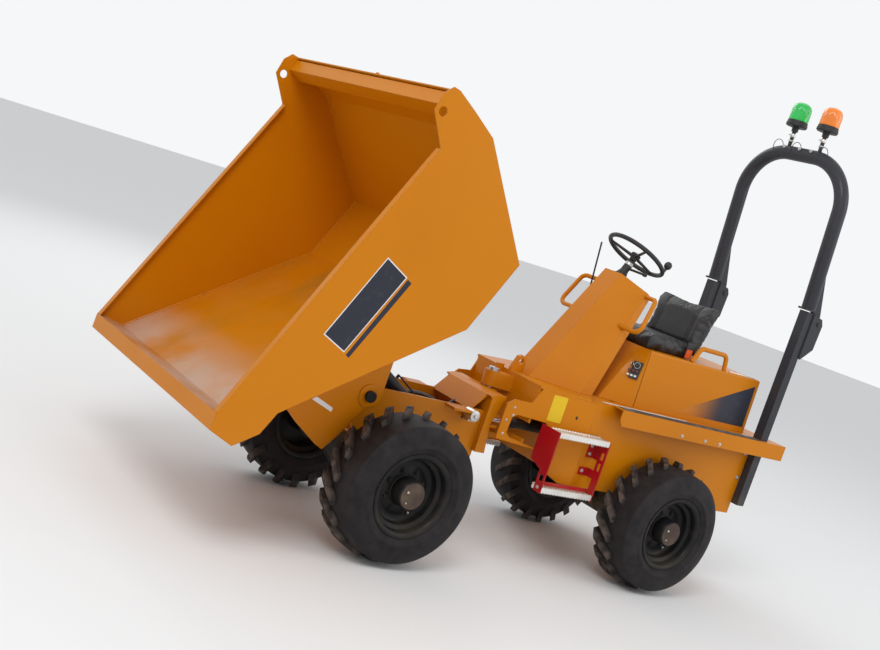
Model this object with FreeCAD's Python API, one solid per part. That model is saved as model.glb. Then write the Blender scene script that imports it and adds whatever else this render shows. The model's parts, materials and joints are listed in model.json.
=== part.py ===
import FreeCAD, Part
import os
import math

V = FreeCAD.Vector
os.makedirs("parts", exist_ok=True)

# Sizes are in millimetres: +X forward, +Y left, +Z up. The floor is Z 0 and the origin lies half-way along.

# Clearances
BEAD_FIT = 0.05
PIN_FIT = 0.05
MOVE_GAP = 6.0
CURVE_GAP = 0.3

# Wheels and axles
FRONT_AXLE_X = 783.0
REAR_AXLE_X = -1033.0
AXLE_Z = 380.0
TYRE_R = AXLE_Z
TYRE_W = 264.0
TYRE_Y = 528.0
LUG_H = 27.0
LUG_COUNT = 20
LUG_THICK = 40.0
LUG_SWEEP = 104.0
TREAD_FLAT = 96.0
SHOULDER_DROP = 8.0
RIM_SEAT_R = 194.0
FLANGE_RISE = 18.5
FLANGE_T = 5.0
WELL_DEPTH = 10.0
RIM_WALL = 6.0
BEAD_INSET = 20.0
RIM_DISC_OFFSET = 10.0
RIM_DISC_T = 10.0
HUB_R = 74.0
HUB_REACH = 112.0
AXLE_FLANGE_BACK = 126.0
AXLE_FLANGE_R = 82.0
AXLE_FLANGE_T = 16.0
AXLE_TUBE_R = 52.0
SPINDLE_R = 32.0
SPINDLE_LEN = 62.0
SPINDLE_ROOM = 8.0
AXLE_PAD_TOP = 500.0
AXLE_PAD_HALF = 60.0
PAD_HALF_WIDTH = 35.0
HOUSING_GAP = 15.0
HOUSING_HALF = 70.0
SHAFT_HOUSING_R = 60.0
SHAFT_HOUSING_LEN = 190.0

# Articulation between the two chassis
PIVOT_X = 40.0
PIN_R = 30.0
PIN_BOTTOM = 596.0
PIN_TOP = 970.0
HUB_TUBE_R = 52.0
HUB_BOTTOM = 636.0
HUB_TOP = 860.0
KNUCKLE_R = 48.0
KNUCKLE_GAP = 8.0
KNUCKLE_TOP = 992.0
KNUCKLE_ARM_T = 30.0
LIFT_HOLE = (-118.0, 1036.0)
LIFT_HOLE_R = 16.0

# Front chassis and skip hinge
TIP_X = 1000.0
TIP_Z = 750.0
TIP_PIN_R = 28.0
BRACKET_T = 15.0
BRACKET_TYRE_GAP = 50.0
HINGE_GAP = 9.0
BRACKET_Y = TYRE_Y - TYRE_W / 2 - BRACKET_TYRE_GAP - BRACKET_T
TUBE_HALF = BRACKET_Y - HINGE_GAP
TUBE_R = 55.0
TIP_PIN_HALF = BRACKET_Y + BRACKET_T + 26.0
RAIL_HALF = 180.0
RAIL_T = 15.0
HEAD_HALF = 214.0
HEAD_T = 12.0
PLATE_T = 12.0
RAM_Y = 90.0
RAM_FOOT = (330.0, 556.0)
RAM_HEAD = (1100.0, 1000.0)
RAM_PIN_R = 15.0
RAM_PIN_PROUD = 16.0
LUG_GAP = 41.0
EYE_R = 32.0
EYE_HALF = 37.0
BARREL_R = 35.0
ROD_R = 20.0
TIP_BARREL_LEN = 560.0
TIP_ROD_IN = 340.0
STEER_FOOT_X = -400.0
STEER_EYE_X = 90.0
STEER_Y = 152.0
STEER_Z = 720.0
STEER_PIN_R = 12.0
STEER_EYE_R = 24.0
STEER_EYE_HALF = 18.0
STEER_BARREL_R = 28.0
STEER_ROD_R = 14.0
STEER_BARREL_LEN = 350.0
STEER_ROD_IN = 220.0
STEER_LUG = 24.0
FOOT_LUG = 34.0

# Skip
SKIP_HALF = 772.0
SHEET = 6.0
RIM_STRIP = 34.0
EAR_HOLE_R = 21.0

# Rear chassis, deck and rollover legs
SIDE_Y = 372.0
FRONT_SIDE_Y = 264.1
SIDE_T = 8.0
SIDE_FRONT_X = 120.0
SIDE_BEND_X = -430.0
SILL_Z = 485.0
SIDE_TOP = 970.0
FLOOR_Z = 500.0
FLOOR_T = 8.0
BULKHEAD_X = -60.0
BULKHEAD_T = 10.0
RAM_ROOM = 46.0
RAM_ROOM_INSIDE = 60.0
DECK_TOP = 976.0
DECK_T = 6.0
DECK_FRONT_X = -388.0
DECK_WING_X = -540.0
DECK_EDGE_Y = 455.0
DECK_FOLD = 92.0
TAIL_X = -1971.0
LEG_X = -1795.0
LEG_Y = 390.0
LEG_SIZE = 62.0
LEG_WALL = 5.0
LEG_BOTTOM = 555.0
LEG_TOP = 1800.0
FOLD_X = -1885.0
FOLD_Z = 1745.0
FOLD_PIN_R = 14.0
FOLD_LUG_T = 12.0
FIN_HALF = 15.0
HOOP_R = 43.0
HOOP_TOP = 2700.0
HOOP_BEND = 290.0
HOOP_LEAN = 4.5
CHASSIS_TAIL_X = LEG_X + LEG_SIZE / 2

# Engine, counterweight and tow jaw
ENGINE_X = (-1640.0, -1180.0)
ENGINE_HALF = 210.0
ENGINE_Z = (560.0, 1010.0)
WEIGHT_BACK_X = -1930.0
WEIGHT_HALF = 300.0
WEIGHT_Z = (560.0, 880.0)
JAW_X = -1850.0
JAW_HALF = 70.0
JAW_Z = (700.0, 760.0)
TOW_X = -1895.0
TOW_PIN_R = 13.0

# Cowl, column and hand wheel
COWL_FRONT = (-148.0, -553.0)
COWL_NOSE = 70.0
COWL_SPLAY = (300.0, 190.0)
COWL_DEPTH = (85.0, 35.0)
COWL_H = 690.0
COWL_WALL = 4.0
COLUMN_TILT = 25.0
COLUMN_BACK = 62.696
COLUMN_RISE = 166.055
COLUMN_R = 24.0
COLUMN_LEN = 118.0
COLUMN_FLANGE_R = 46.0
COLUMN_FLANGE_T = 10.0
SHAFT_R = 10.0
STALK_R = 7.0
STALK_LEN = 150.0
WHEEL_R = 180.0
WHEEL_TUBE_R = 13.0
SPOKE_R = 8.0
KNOB_R = 23.0
GRIP_R = 13.0
GRIP_BEND = 40.0

# Engine cover, heel panel and seat
COVER_HALF = 295.0
COVER_TOP = 1310.0
COVER_X0 = -1740.0
COVER_X1 = -560.0
COVER_LEAN = 10.0
COVER_WALL = 5.0
SPLIT_X = -760.0
HINGE_R = 8.0
HINGE_LEN = 90.0
HINGE_Y = 200.0
SEAT_X = (-1150.0, -770.0)
SEAT_HALF = 235.0
SEAT_H = 95.0
SEAT_ROUND = 25.0
BACK_H = 345.0
BACK_T = 80.0
BACK_RAKE = 60.0
HIP_Y = 262.0
HIP_H = 90.0
HIP_R = 14.0
HIP_BEND = 38.0

# Steps
STEP_X = (-512.0, -145.0)
STEP_Y = (385.0, 470.0)
STEP_UPPER_Z = 785.0
STEP_LOWER_Z = 475.0
STEP_H = 30.0
STEP_WALL = 4.0
STEP_HOLES = 9
STEP_HOLE_R = 8.0
TOOTH_H = 7.0
WEB_T = 8.0

# Beacons
BEACON_Y = 120.0
BEACON_STEM_R = 12.0
BEACON_STEM = 118.0
BEACON_BASE_R = 66.0
BEACON_BASE_H = 38.0
BEACON_DOME_H = 118.0


def rot(shape, angle, centre=(0.0, 0.0, 0.0), axis=(0, 1, 0)):
    out = shape.copy()
    out.rotate(V(*centre), V(*axis), angle)
    return out


def shift(shape, x=0.0, y=0.0, z=0.0):
    out = shape.copy()
    out.translate(V(x, y, z))
    return out


def mirrored(shape):
    return shape.mirror(V(0, 0, 0), V(0, 1, 0))


def box(x0, x1, y0, y1, z0, z1):
    low = V(min(x0, x1), min(y0, y1), min(z0, z1))
    return Part.makeBox(abs(x1 - x0), abs(y1 - y0), abs(z1 - z0), low)


def cyl(radius, start, end):
    a = V(*start)
    b = V(*end)
    return Part.makeCylinder(radius, (b - a).Length, a, b - a)


def cross_pin(radius, x, z, y0, y1):
    """Round bar along Y."""
    return cyl(radius, (x, y0, z), (x, y1, z))


def slab(points, y0, y1):
    """Prism of an X-Z outline between two Y planes."""
    ring = [V(x, y0, z) for x, z in points]
    face = Part.Face(Part.makePolygon(ring + [ring[0]]))
    return face.extrude(V(0, y1 - y0, 0))


def plan(points, z0, z1):
    """Prism of an X-Y outline between two levels."""
    ring = [V(x, y, z0) for x, y in points]
    face = Part.Face(Part.makePolygon(ring + [ring[0]]))
    return face.extrude(V(0, 0, z1 - z0))


def across(points, x0, x1):
    """Prism of a Y-Z outline between two X planes."""
    ring = [V(x0, y, z) for y, z in points]
    face = Part.Face(Part.makePolygon(ring + [ring[0]]))
    return face.extrude(V(x1 - x0, 0, 0))


def loft_box(low, top, z0, z1):
    """Straight-sided solid between two X-Y outlines with as many corners."""
    rings = []
    for points, z in ((low, z0), (top, z1)):
        ring = [V(x, y, z) for x, y in points]
        rings.append(Part.makePolygon(ring + [ring[0]]))
    return Part.makeLoft(rings, True, True)


def offset_path(points, thick):
    """Points of a polyline moved sideways by a thickness, mitred."""
    out = []
    count = len(points)
    for i in range(count):
        normals = []
        for j in (i - 1, i):
            if 0 <= j < count - 1:
                dx = points[j + 1][0] - points[j][0]
                dz = points[j + 1][1] - points[j][1]
                length = math.hypot(dx, dz)
                normals.append((-dz / length, dx / length))
        nx = sum(n[0] for n in normals)
        nz = sum(n[1] for n in normals)
        length = math.hypot(nx, nz)
        nx, nz = nx / length, nz / length
        scale = thick / (nx * normals[0][0] + nz * normals[0][1])
        out.append((points[i][0] + nx * scale, points[i][1] + nz * scale))
    return out


def sheet(points, thick, y0, y1):
    """Bent sheet along an X-Z polyline."""
    return slab(points + offset_path(points, thick)[::-1], y0, y1)


def fuse(shapes):
    out = shapes[0]
    if len(shapes) > 1:
        out = out.multiFuse(shapes[1:])
    return out.removeSplitter()


def both_sides(make):
    """The shapes that a function gives for the left and the right side."""
    return [make(sign) for sign in (1, -1)]


def export(shape, name):
    shape.exportStep("parts/" + name + ".step")


def export_pair(shape, name):
    """Writes a left-hand piece and its mirror image."""
    export(shape, name + "_left")
    export(mirrored(shape), name + "_right")


def spin(points):
    """Solid of revolution about the Y axis, outline in (radius, y)."""
    ring = [V(r, y, 0) for r, y in points]
    face = Part.Face(Part.makePolygon(ring + [ring[0]]))
    return face.revolve(V(0, 0, 0), V(0, 1, 0), 360)


def tube_path(points, bend):
    """Wire of straight runs joined by tangent arcs."""
    vs = [V(*p) for p in points]
    edges = []
    start = vs[0]
    for i in range(1, len(vs) - 1):
        a = (vs[i - 1] - vs[i]).normalize()
        b = (vs[i + 1] - vs[i]).normalize()
        half = math.acos(max(-1.0, min(1.0, a.dot(b)))) / 2
        back = bend / math.tan(half)
        p0 = vs[i] + a * back
        p1 = vs[i] + b * back
        mid_dir = (a + b).normalize()
        centre = vs[i] + mid_dir * (bend / math.sin(half))
        mid = centre - mid_dir * bend
        edges.append(Part.makeLine(start, p0))
        edges.append(Part.Arc(p0, mid, p1).toShape())
        start = p1
    edges.append(Part.makeLine(start, vs[-1]))
    return Part.Wire(edges)


def tube(points, radius, bend):
    """Round bar bent along a path."""
    wire = tube_path(points, bend)
    direction = V(*points[1]) - V(*points[0])
    ring = Part.Wire([Part.makeCircle(radius, V(*points[0]), direction)])
    return wire.makePipeShell([ring], True, False)


# Wheels
RIM_FLANGE_R = RIM_SEAT_R + FLANGE_RISE
RIM_INSIDE_R = RIM_SEAT_R - WELL_DEPTH
RIM_HALF = TYRE_W / 2 - BEAD_INSET
CARCASS_R = TYRE_R - LUG_H
AXLE_FLANGE_Y = TYRE_Y - AXLE_FLANGE_BACK


def carcass():
    half = TYRE_W / 2
    bore = RIM_SEAT_R + BEAD_FIT
    bead = RIM_HALF - CURVE_GAP
    side = [(bore, bead - 6.0), (bore + 6.0, bead), (RIM_FLANGE_R + 1.0, bead),
            (RIM_FLANGE_R + 12.0, bead + 6.0),
            (TYRE_R - 95.0, half), (CARCASS_R - 18.0, half - 4.0), (CARCASS_R - 6.0, half - 18.0)]
    return spin([(r, -y) for r, y in side] + [(CARCASS_R, 0.0)] + side[::-1])


def lug(hand):
    """Bar from the middle of the tread to its shoulder, leading with its inner end."""
    inner, knee, outer = -6.0, 46.0, TYRE_W / 2
    centre_line = [(inner, LUG_SWEEP / 2), (knee, LUG_SWEEP * 0.08), (outer, -LUG_SWEEP / 2)]
    half = LUG_THICK / 2
    front = [(x + half + y * 0.06, y * hand) for y, x in centre_line]
    back = [(x - half - y * 0.06, y * hand) for y, x in centre_line]
    bar = plan(front + back[::-1], CARCASS_R - 34.0, TYRE_R + 8.0)
    half_w = TYRE_W / 2
    envelope = spin([(CARCASS_R - 40.0, -half_w - 1), (CARCASS_R - 40.0, half_w + 1),
                     (CARCASS_R - 24.0, half_w - 0.5),
                     (TYRE_R - SHOULDER_DROP, half_w - 5.0), (TYRE_R, TREAD_FLAT), (TYRE_R, -TREAD_FLAT),
                     (TYRE_R - SHOULDER_DROP, 5.0 - half_w), (CARCASS_R - 24.0, 0.5 - half_w)])
    return bar.common(envelope)


def tyre():
    pitch = 360.0 / LUG_COUNT
    lugs = []
    for hand, start in ((1, 0.0), (-1, pitch / 2)):
        bar = lug(hand)
        lugs += [rot(bar, start + pitch * i) for i in range(LUG_COUNT)]
    return carcass().multiFuse(lugs)


def rim():
    inside = RIM_INSIDE_R - RIM_WALL
    side = [(inside, RIM_HALF + FLANGE_T), (RIM_FLANGE_R, RIM_HALF + FLANGE_T), (RIM_FLANGE_R, RIM_HALF),
            (RIM_SEAT_R, RIM_HALF), (RIM_SEAT_R, RIM_HALF - 22.0), (RIM_INSIDE_R, RIM_HALF - 34.0)]
    barrel = spin([(r, -y) for r, y in side] + side[::-1])
    disc = cyl(inside + RIM_WALL / 2, (0, RIM_DISC_OFFSET, 0), (0, RIM_DISC_OFFSET + RIM_DISC_T, 0))
    inner = MOVE_GAP - AXLE_FLANGE_BACK
    edge = 6.0
    hub = spin([(0, inner), (HUB_R, inner), (HUB_R, HUB_REACH - edge), (HUB_R - edge, HUB_REACH),
                (0, HUB_REACH)])
    body = fuse([barrel, disc, hub])
    depth = SPINDLE_LEN + SPINDLE_ROOM - AXLE_FLANGE_BACK
    return body.cut(cyl(SPINDLE_R + PIN_FIT, (0, inner - 1, 0), (0, depth, 0)))


TYRE = tyre()
RIM = rim()
for end, axle_x in (("front", FRONT_AXLE_X), ("rear", REAR_AXLE_X)):
    for name, shape in (("tyre", TYRE), ("rim", RIM)):
        export_pair(shift(shape, axle_x, TYRE_Y, AXLE_Z), name + "_" + end)


def axle(axle_x, pad_y, inward):
    """Beam with a middle housing, end flanges, spindles and two pads under the chassis."""
    z = AXLE_Z
    housing_r = AXLE_PAD_TOP - AXLE_Z - HOUSING_GAP
    pieces = [cross_pin(AXLE_TUBE_R, axle_x, z, -AXLE_FLANGE_Y, AXLE_FLANGE_Y),
              cross_pin(housing_r, axle_x, z, -HOUSING_HALF, HOUSING_HALF),
              cyl(SHAFT_HOUSING_R, (axle_x, 0, z), (axle_x + inward * SHAFT_HOUSING_LEN, 0, z))]
    for sign in (-1, 1):
        flange = sign * AXLE_FLANGE_Y
        pieces.append(cross_pin(AXLE_FLANGE_R, axle_x, z, flange - sign * AXLE_FLANGE_T, flange))
        pieces.append(cross_pin(SPINDLE_R, axle_x, z, flange, flange + sign * SPINDLE_LEN))
        pad = sign * pad_y
        pieces.append(box(axle_x - AXLE_PAD_HALF, axle_x + AXLE_PAD_HALF, pad - PAD_HALF_WIDTH,
                          pad + PAD_HALF_WIDTH, z, AXLE_PAD_TOP))
    return fuse(pieces)


export(axle(FRONT_AXLE_X, RAIL_HALF - PAD_HALF_WIDTH, -1), "front_axle")
export(axle(REAR_AXLE_X, 290.0, 1), "rear_axle")

# Front chassis: rails, hinge tube, crosshead and the hub round the centre pin
RAIL_OUTLINE = [(150, AXLE_PAD_TOP), (150, 760), (880, 765), (950, 790), (TIP_X, TIP_Z + 50),
                (TIP_X + 40, TIP_Z + 25),
                (TIP_X + 40, TIP_Z - 30), (TIP_X - 20, TIP_Z - 110), (900, AXLE_PAD_TOP)]
BRACE_OUTLINE = [(150, 620), (262, 752), (178, 850), (170, 841), (248, 752), (150, 640)]
HEAD_CAP = [(70, 850), (70, 862), (130, 862), (178, 850), (170, 841), (128, 850)]
HEAD_CHEEK = [(150, 540), (95, 540), (118, 700), (70, 850), (70, 862), (130, 862), (162, 846)]
SHELF = (300.0, 420.0, 175.0, 265.0, 748.0, 760.0)


def chassis_rail(sign):
    y = sign * RAIL_HALF
    return slab(RAIL_OUTLINE, y, y - sign * RAIL_T)


def crosshead():
    pieces = [slab(BRACE_OUTLINE, -RAIL_HALF, RAIL_HALF), slab(HEAD_CAP, -HEAD_HALF, HEAD_HALF),
              box(150, 162, -HEAD_HALF, HEAD_HALF, 540, 846)]
    pieces += both_sides(lambda sign: slab(HEAD_CHEEK, sign * HEAD_HALF, sign * (HEAD_HALF - HEAD_T)))
    for z in (770, 650):
        pieces.append(box(PIVOT_X, 160, -50, 50, z, z + 20))
    pieces.append(cyl(HUB_TUBE_R, (PIVOT_X, 0, HUB_BOTTOM), (PIVOT_X, 0, HUB_TOP)))
    return pieces


def steer_lugs():
    """Two ears with stub pins that hold the steering rod's eye from above and below."""
    pieces = []
    for z, way in ((STEER_Z + STEER_LUG, 1), (STEER_Z - STEER_LUG, -1)):
        pieces.append(box(STEER_EYE_X - 20, 160, STEER_Y - 26, HEAD_HALF - 2, z, z + way * PLATE_T))
        pieces.append(cyl(STEER_PIN_R, (STEER_EYE_X, STEER_Y, z), (STEER_EYE_X, STEER_Y, z + way * 20)))
    return pieces


def ram_foot_lugs(y):
    x, z = RAM_FOOT
    lug_outline = [(x - 45, AXLE_PAD_TOP + 6), (x - 30, z + 25), (x + 30, z + 25),
                   (x + 45, AXLE_PAD_TOP + 6)]
    return both_sides(lambda side: slab(lug_outline, y + side * LUG_GAP, y + side * (LUG_GAP + PLATE_T)))


def front_chassis():
    x0, x1, y0, y1, z0, z1 = SHELF
    pieces = both_sides(chassis_rail)
    pieces += both_sides(lambda sign: box(x0, x1, sign * y0, sign * y1, z0, z1))
    pieces.append(cross_pin(TUBE_R, TIP_X, TIP_Z, -TUBE_HALF, TUBE_HALF))
    pieces.append(box(150, 900, -RAIL_HALF, RAIL_HALF, AXLE_PAD_TOP, AXLE_PAD_TOP + PLATE_T))
    pieces += crosshead() + steer_lugs() + ram_foot_lugs(RAM_Y) + ram_foot_lugs(-RAM_Y)
    body = fuse(pieces)
    body = body.cut(cyl(PIN_R + PIN_FIT, (PIVOT_X, 0, HUB_BOTTOM - 1), (PIVOT_X, 0, HUB_TOP + 1)))
    body = body.cut(cross_pin(TIP_PIN_R + PIN_FIT, TIP_X, TIP_Z, -TIP_PIN_HALF, TIP_PIN_HALF))
    reach = LUG_GAP + RAM_PIN_PROUD
    pins = both_sides(lambda s: cross_pin(RAM_PIN_R, RAM_FOOT[0], RAM_FOOT[1], s * RAM_Y - reach,
                                          s * RAM_Y + reach))
    return fuse([body] + pins)


export(front_chassis(), "front_chassis")
export(cross_pin(TIP_PIN_R, TIP_X, TIP_Z, -TIP_PIN_HALF, TIP_PIN_HALF), "tip_pin")

# Skip: shell, hinge frame and rear rail, drawn as it stands when tipped
LIP_BACK = (1967.0, 641.0)
LIP_TOP = (1971.0, 573.0)
LIP_FRONT = (1855.0, 522.0)
LIP_LOW = (1747.0, 592.0)
LIP_ROOT = (1696.0, 692.0)
FLOOR_KINK = (1822.0, 607.0)
FLOOR_END = (902.0, 1227.0)
BACK_LOW = (735.0, 1572.0)
BACK_TOP = (1102.0, 2060.0)
TOP_BEND = (1230.0, 2136.0)
TOP_EDGE = (1340.0, 2196.0)
EAR_TOP = (1374.0, 2202.0)
EAR_CORNER = (1412.0, 2165.0)
EAR_FRONT = (1433.0, 2083.0)
EAR_BOTTOM = (1343.0, 1941.0)
EAR_HOLE = (1390.0, 2090.0)
RAIL_BOX = [(1258, 2140), (1338, 2180), (1366, 2120), (1290, 2080)]
RAIL_BORE = [(1265, 2137), (1334, 2171), (1357, 2122), (1293, 2089)]


def skip():
    outline = [LIP_BACK, LIP_TOP, LIP_FRONT, LIP_LOW, LIP_ROOT, FLOOR_END, BACK_LOW, BACK_TOP, TOP_BEND,
               TOP_EDGE,
               EAR_TOP, EAR_CORNER, EAR_FRONT, EAR_BOTTOM]
    half = SKIP_HALF
    pieces = both_sides(lambda sign: slab(outline, sign * half, sign * (half - SHEET)))
    pieces += both_sides(lambda sign: sheet([EAR_BOTTOM, LIP_BACK], -SHEET, sign * half,
                                            sign * (half - RIM_STRIP)))
    floor = [LIP_BACK, FLOOR_KINK, FLOOR_END, BACK_LOW, BACK_TOP, TOP_BEND, TOP_EDGE]
    pieces.append(sheet(floor, -SHEET, -half, half))
    pieces.append(sheet([LIP_BACK, LIP_TOP, LIP_FRONT, LIP_LOW, LIP_ROOT], -SHEET, -half, half))
    body = fuse(pieces)
    for sign in (-1, 1):
        hole = cross_pin(EAR_HOLE_R, EAR_HOLE[0], EAR_HOLE[1], sign * (half - RIM_STRIP - 10),
                         sign * (half + 1))
        body = body.cut(hole)
    return body


export(skip(), "skip")


def floor_z(x, drop=0.0):
    """Height of the skip floor's underside at a place along it."""
    slope = (FLOOR_KINK[1] - FLOOR_END[1]) / (FLOOR_KINK[0] - FLOOR_END[0])
    return FLOOR_END[1] + slope * (x - FLOOR_END[0]) - drop


def bracket_plate(sign):
    outline = [(1540, floor_z(1540)), (FLOOR_END[0] + 20, floor_z(FLOOR_END[0] + 20)), (930, 740),
               (945, 700),
               (TIP_X, TIP_Z - 62), (1105, 520), (1160, 452), (1200, 470), (1340, 560), (1490, 680)]
    return slab(outline, sign * BRACKET_Y, sign * (BRACKET_Y + BRACKET_T))


def hinge_boss(sign):
    return cross_pin(58.0, TIP_X, TIP_Z, sign * (TUBE_HALF + MOVE_GAP), sign * (BRACKET_Y + BRACKET_T + 6))


def ram_head_lugs(y):
    x, z = RAM_HEAD
    outline = [(x - 38, floor_z(x - 38)), (x - 30, z - 20), (x, z - 36), (x + 30, z - 28),
               (1185, floor_z(1185, 50)),
               (1185, floor_z(1185))]
    return both_sides(lambda side: slab(outline, y + side * LUG_GAP, y + side * (LUG_GAP + PLATE_T)))


def ram_head_stubs(y):
    x, z = RAM_HEAD
    proud = LUG_GAP + RAM_PIN_PROUD
    return both_sides(lambda side: cross_pin(RAM_PIN_R, x, z, y + side * LUG_GAP, y + side * proud))


def skip_frame():
    beam = [(1180, floor_z(1180)), (1180, floor_z(1180, 60)), (1260, floor_z(1260, 60)),
            (1260, floor_z(1260))]
    pieces = both_sides(bracket_plate) + both_sides(hinge_boss) + [slab(beam, -BRACKET_Y, BRACKET_Y)]
    pieces += ram_head_lugs(RAM_Y) + ram_head_lugs(-RAM_Y)
    body = fuse(pieces).cut(cross_pin(TIP_PIN_R + PIN_FIT, TIP_X, TIP_Z, -TIP_PIN_HALF, TIP_PIN_HALF))
    return fuse([body] + ram_head_stubs(RAM_Y) + ram_head_stubs(-RAM_Y))


def skip_rail():
    y = SKIP_HALF - SHEET
    return slab(RAIL_BOX, -y, y).cut(slab(RAIL_BORE, -y - 1, y + 1))


export(skip_frame(), "skip_frame")
export(skip_rail(), "skip_rail")


def ram(length, eye_half, eye_r, pin_r, barrel_r, rod_r, barrel_len, rod_in):
    """Barrel and rod along X from the foot's eye, both with eyes along Y."""
    eye = cyl(eye_r, (0, -eye_half, 0), (0, eye_half, 0))
    tube_body = cyl(barrel_r, (eye_r - 6, 0, 0), (barrel_len, 0, 0))
    gland = cyl(barrel_r + 4, (barrel_len - 30, 0, 0), (barrel_len, 0, 0))
    barrel = fuse([eye, tube_body, gland])
    barrel = barrel.cut(cyl(rod_r + PIN_FIT, (eye_r + 20, 0, 0), (barrel_len + 1, 0, 0)))
    barrel = barrel.cut(cyl(pin_r + PIN_FIT, (0, -eye_half - 1, 0), (0, eye_half + 1, 0)))
    end = cyl(eye_r, (length, -eye_half, 0), (length, eye_half, 0))
    rod = fuse([end, cyl(rod_r, (rod_in, 0, 0), (length - eye_r + 6, 0, 0))])
    return barrel, rod


def tip_rams():
    run = (RAM_HEAD[0] - RAM_FOOT[0], RAM_HEAD[1] - RAM_FOOT[1])
    angle = math.degrees(math.atan2(run[1], run[0]))
    parts = ram(math.hypot(*run), EYE_HALF, EYE_R, RAM_PIN_R, BARREL_R, ROD_R, TIP_BARREL_LEN, TIP_ROD_IN)
    for name, shape in zip(("tip_barrel", "tip_rod"), parts):
        export_pair(shift(rot(shape, -angle), RAM_FOOT[0], RAM_Y, RAM_FOOT[1]), name)


def steer_ram():
    parts = ram(STEER_EYE_X - STEER_FOOT_X, STEER_EYE_HALF, STEER_EYE_R, STEER_PIN_R, STEER_BARREL_R,
                STEER_ROD_R,
                STEER_BARREL_LEN, STEER_ROD_IN)
    for name, shape in zip(("steer_barrel", "steer_rod"), parts):
        export(shift(rot(shape, 90.0, axis=(1, 0, 0)), STEER_FOOT_X, STEER_Y, STEER_Z), name)


tip_rams()
steer_ram()

# Rear chassis: side plates, floor, and the hinge frame that holds the centre pin
TOP_PLATE_T = 14.0
SIDE_OUTLINE = [(100, 645), (-150, 635), (-265, 520), (-345, SILL_Z), (CHASSIS_TAIL_X, SILL_Z),
                (CHASSIS_TAIL_X, SIDE_TOP), (DECK_FRONT_X, SIDE_TOP),
                (DECK_FRONT_X, DECK_TOP - TOP_PLATE_T),
                (-76, DECK_TOP - TOP_PLATE_T), (-40, 876), (60, 872), (100, 840)]
LIFT_OUTLINE = [(-64, 940), (-64, 990), (-92, 1062), (-118, 1072), (-142, 1058), (-146, 1035), (-146, 940)]
SIDE_WINDOW = [(-170, 645), (-180, 770), (-160, 790), (20, 795), (45, 775), (50, 690), (25, 668),
               (-150, 640)]


def side_y(x):
    """Outer face of the side plate, which tapers ahead of its bend."""
    if x <= SIDE_BEND_X:
        return SIDE_Y
    share = (SIDE_FRONT_X - x) / (SIDE_FRONT_X - SIDE_BEND_X)
    return FRONT_SIDE_Y + (SIDE_Y - FRONT_SIDE_Y) * share


def side_plates():
    """The straight plate beside the engine, and the tapering one that is welded on ahead of it."""
    ends = [(SIDE_FRONT_X, FRONT_SIDE_Y), (SIDE_BEND_X, SIDE_Y), (CHASSIS_TAIL_X - 10, SIDE_Y)]
    band = ends + [(x, y - SIDE_T) for x, y in ends[::-1]]
    plate = slab(SIDE_OUTLINE, 0, SIDE_Y + 100).common(plan(band, SILL_Z - 10, SIDE_TOP + 10))
    plate = plate.cut(slab(SIDE_WINDOW, 0, SIDE_Y + 100))
    behind = box(CHASSIS_TAIL_X - 10, SIDE_BEND_X, 0, SIDE_Y + 10, SILL_Z - 10, SIDE_TOP + 10)
    return plate.common(behind), plate.cut(behind)


def rear_floor():
    """Floor plate with end walls, a stiffener and the foot lugs of the steering ram."""
    inner = SIDE_Y - SIDE_T
    tail = CHASSIS_TAIL_X
    wall_x = SIDE_BEND_X + 10
    lug_end_y = STEER_Y + 78
    upper = STEER_Z + FOOT_LUG
    pieces = [box(tail, SIDE_BEND_X, -inner, inner, FLOOR_Z, FLOOR_Z + FLOOR_T),
              box(tail, tail + FLOOR_T, -inner, inner, FLOOR_Z, SIDE_TOP - 10),
              box(-1700, -1690, -inner, inner, FLOOR_Z, FLOOR_Z + 100),
              box(SIDE_BEND_X, wall_x, 4 - inner, inner - 4, FLOOR_Z, STEER_Z - 20),
              box(SIDE_BEND_X, wall_x, STEER_Y + 38, inner - 4, FLOOR_Z, upper + PLATE_T)]
    for z in (STEER_Z - FOOT_LUG - PLATE_T, upper):
        pieces.append(box(SIDE_BEND_X, STEER_FOOT_X + 25, STEER_Y - 30, lug_end_y, z, z + PLATE_T))
    reach = FOOT_LUG + RAM_PIN_PROUD
    pieces.append(cyl(STEER_PIN_R, (STEER_FOOT_X, STEER_Y, STEER_Z - reach),
                      (STEER_FOOT_X, STEER_Y, STEER_Z + reach)))
    return fuse(pieces)


def knuckle(z0, z1):
    arm = [(PIVOT_X, -KNUCKLE_R), (PIVOT_X, KNUCKLE_R), (BULKHEAD_X, KNUCKLE_HALF),
           (KNUCKLE_BACK_X, KNUCKLE_HALF), (KNUCKLE_BACK_X, -KNUCKLE_HALF), (BULKHEAD_X, -KNUCKLE_HALF)]
    return plan(arm, z0, z1).fuse(cyl(KNUCKLE_R, (PIVOT_X, 0, z0), (PIVOT_X, 0, z1)))


KNUCKLE_HALF = 70.0
KNUCKLE_BACK_X = -200.0
UNDER_TOP_PLATE = DECK_TOP - TOP_PLATE_T
PIN_WAY = cyl(PIN_R + PIN_FIT, (PIVOT_X, 0, PIN_BOTTOM - 6), (PIVOT_X, 0, PIN_TOP + 10))


def hinge_frame():
    """Top plate with the lifting lug."""
    top = [(x, sign * side_y(x))
           for x, sign in ((BULKHEAD_X, -1), (BULKHEAD_X, 1), (DECK_FRONT_X, 1), (DECK_FRONT_X, -1))]
    body = fuse([plan(top, UNDER_TOP_PLATE, DECK_TOP), slab(LIFT_OUTLINE, -12, 12)])
    return body.cut(cross_pin(LIFT_HOLE_R, LIFT_HOLE[0], LIFT_HOLE[1], -20, 20))


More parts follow.
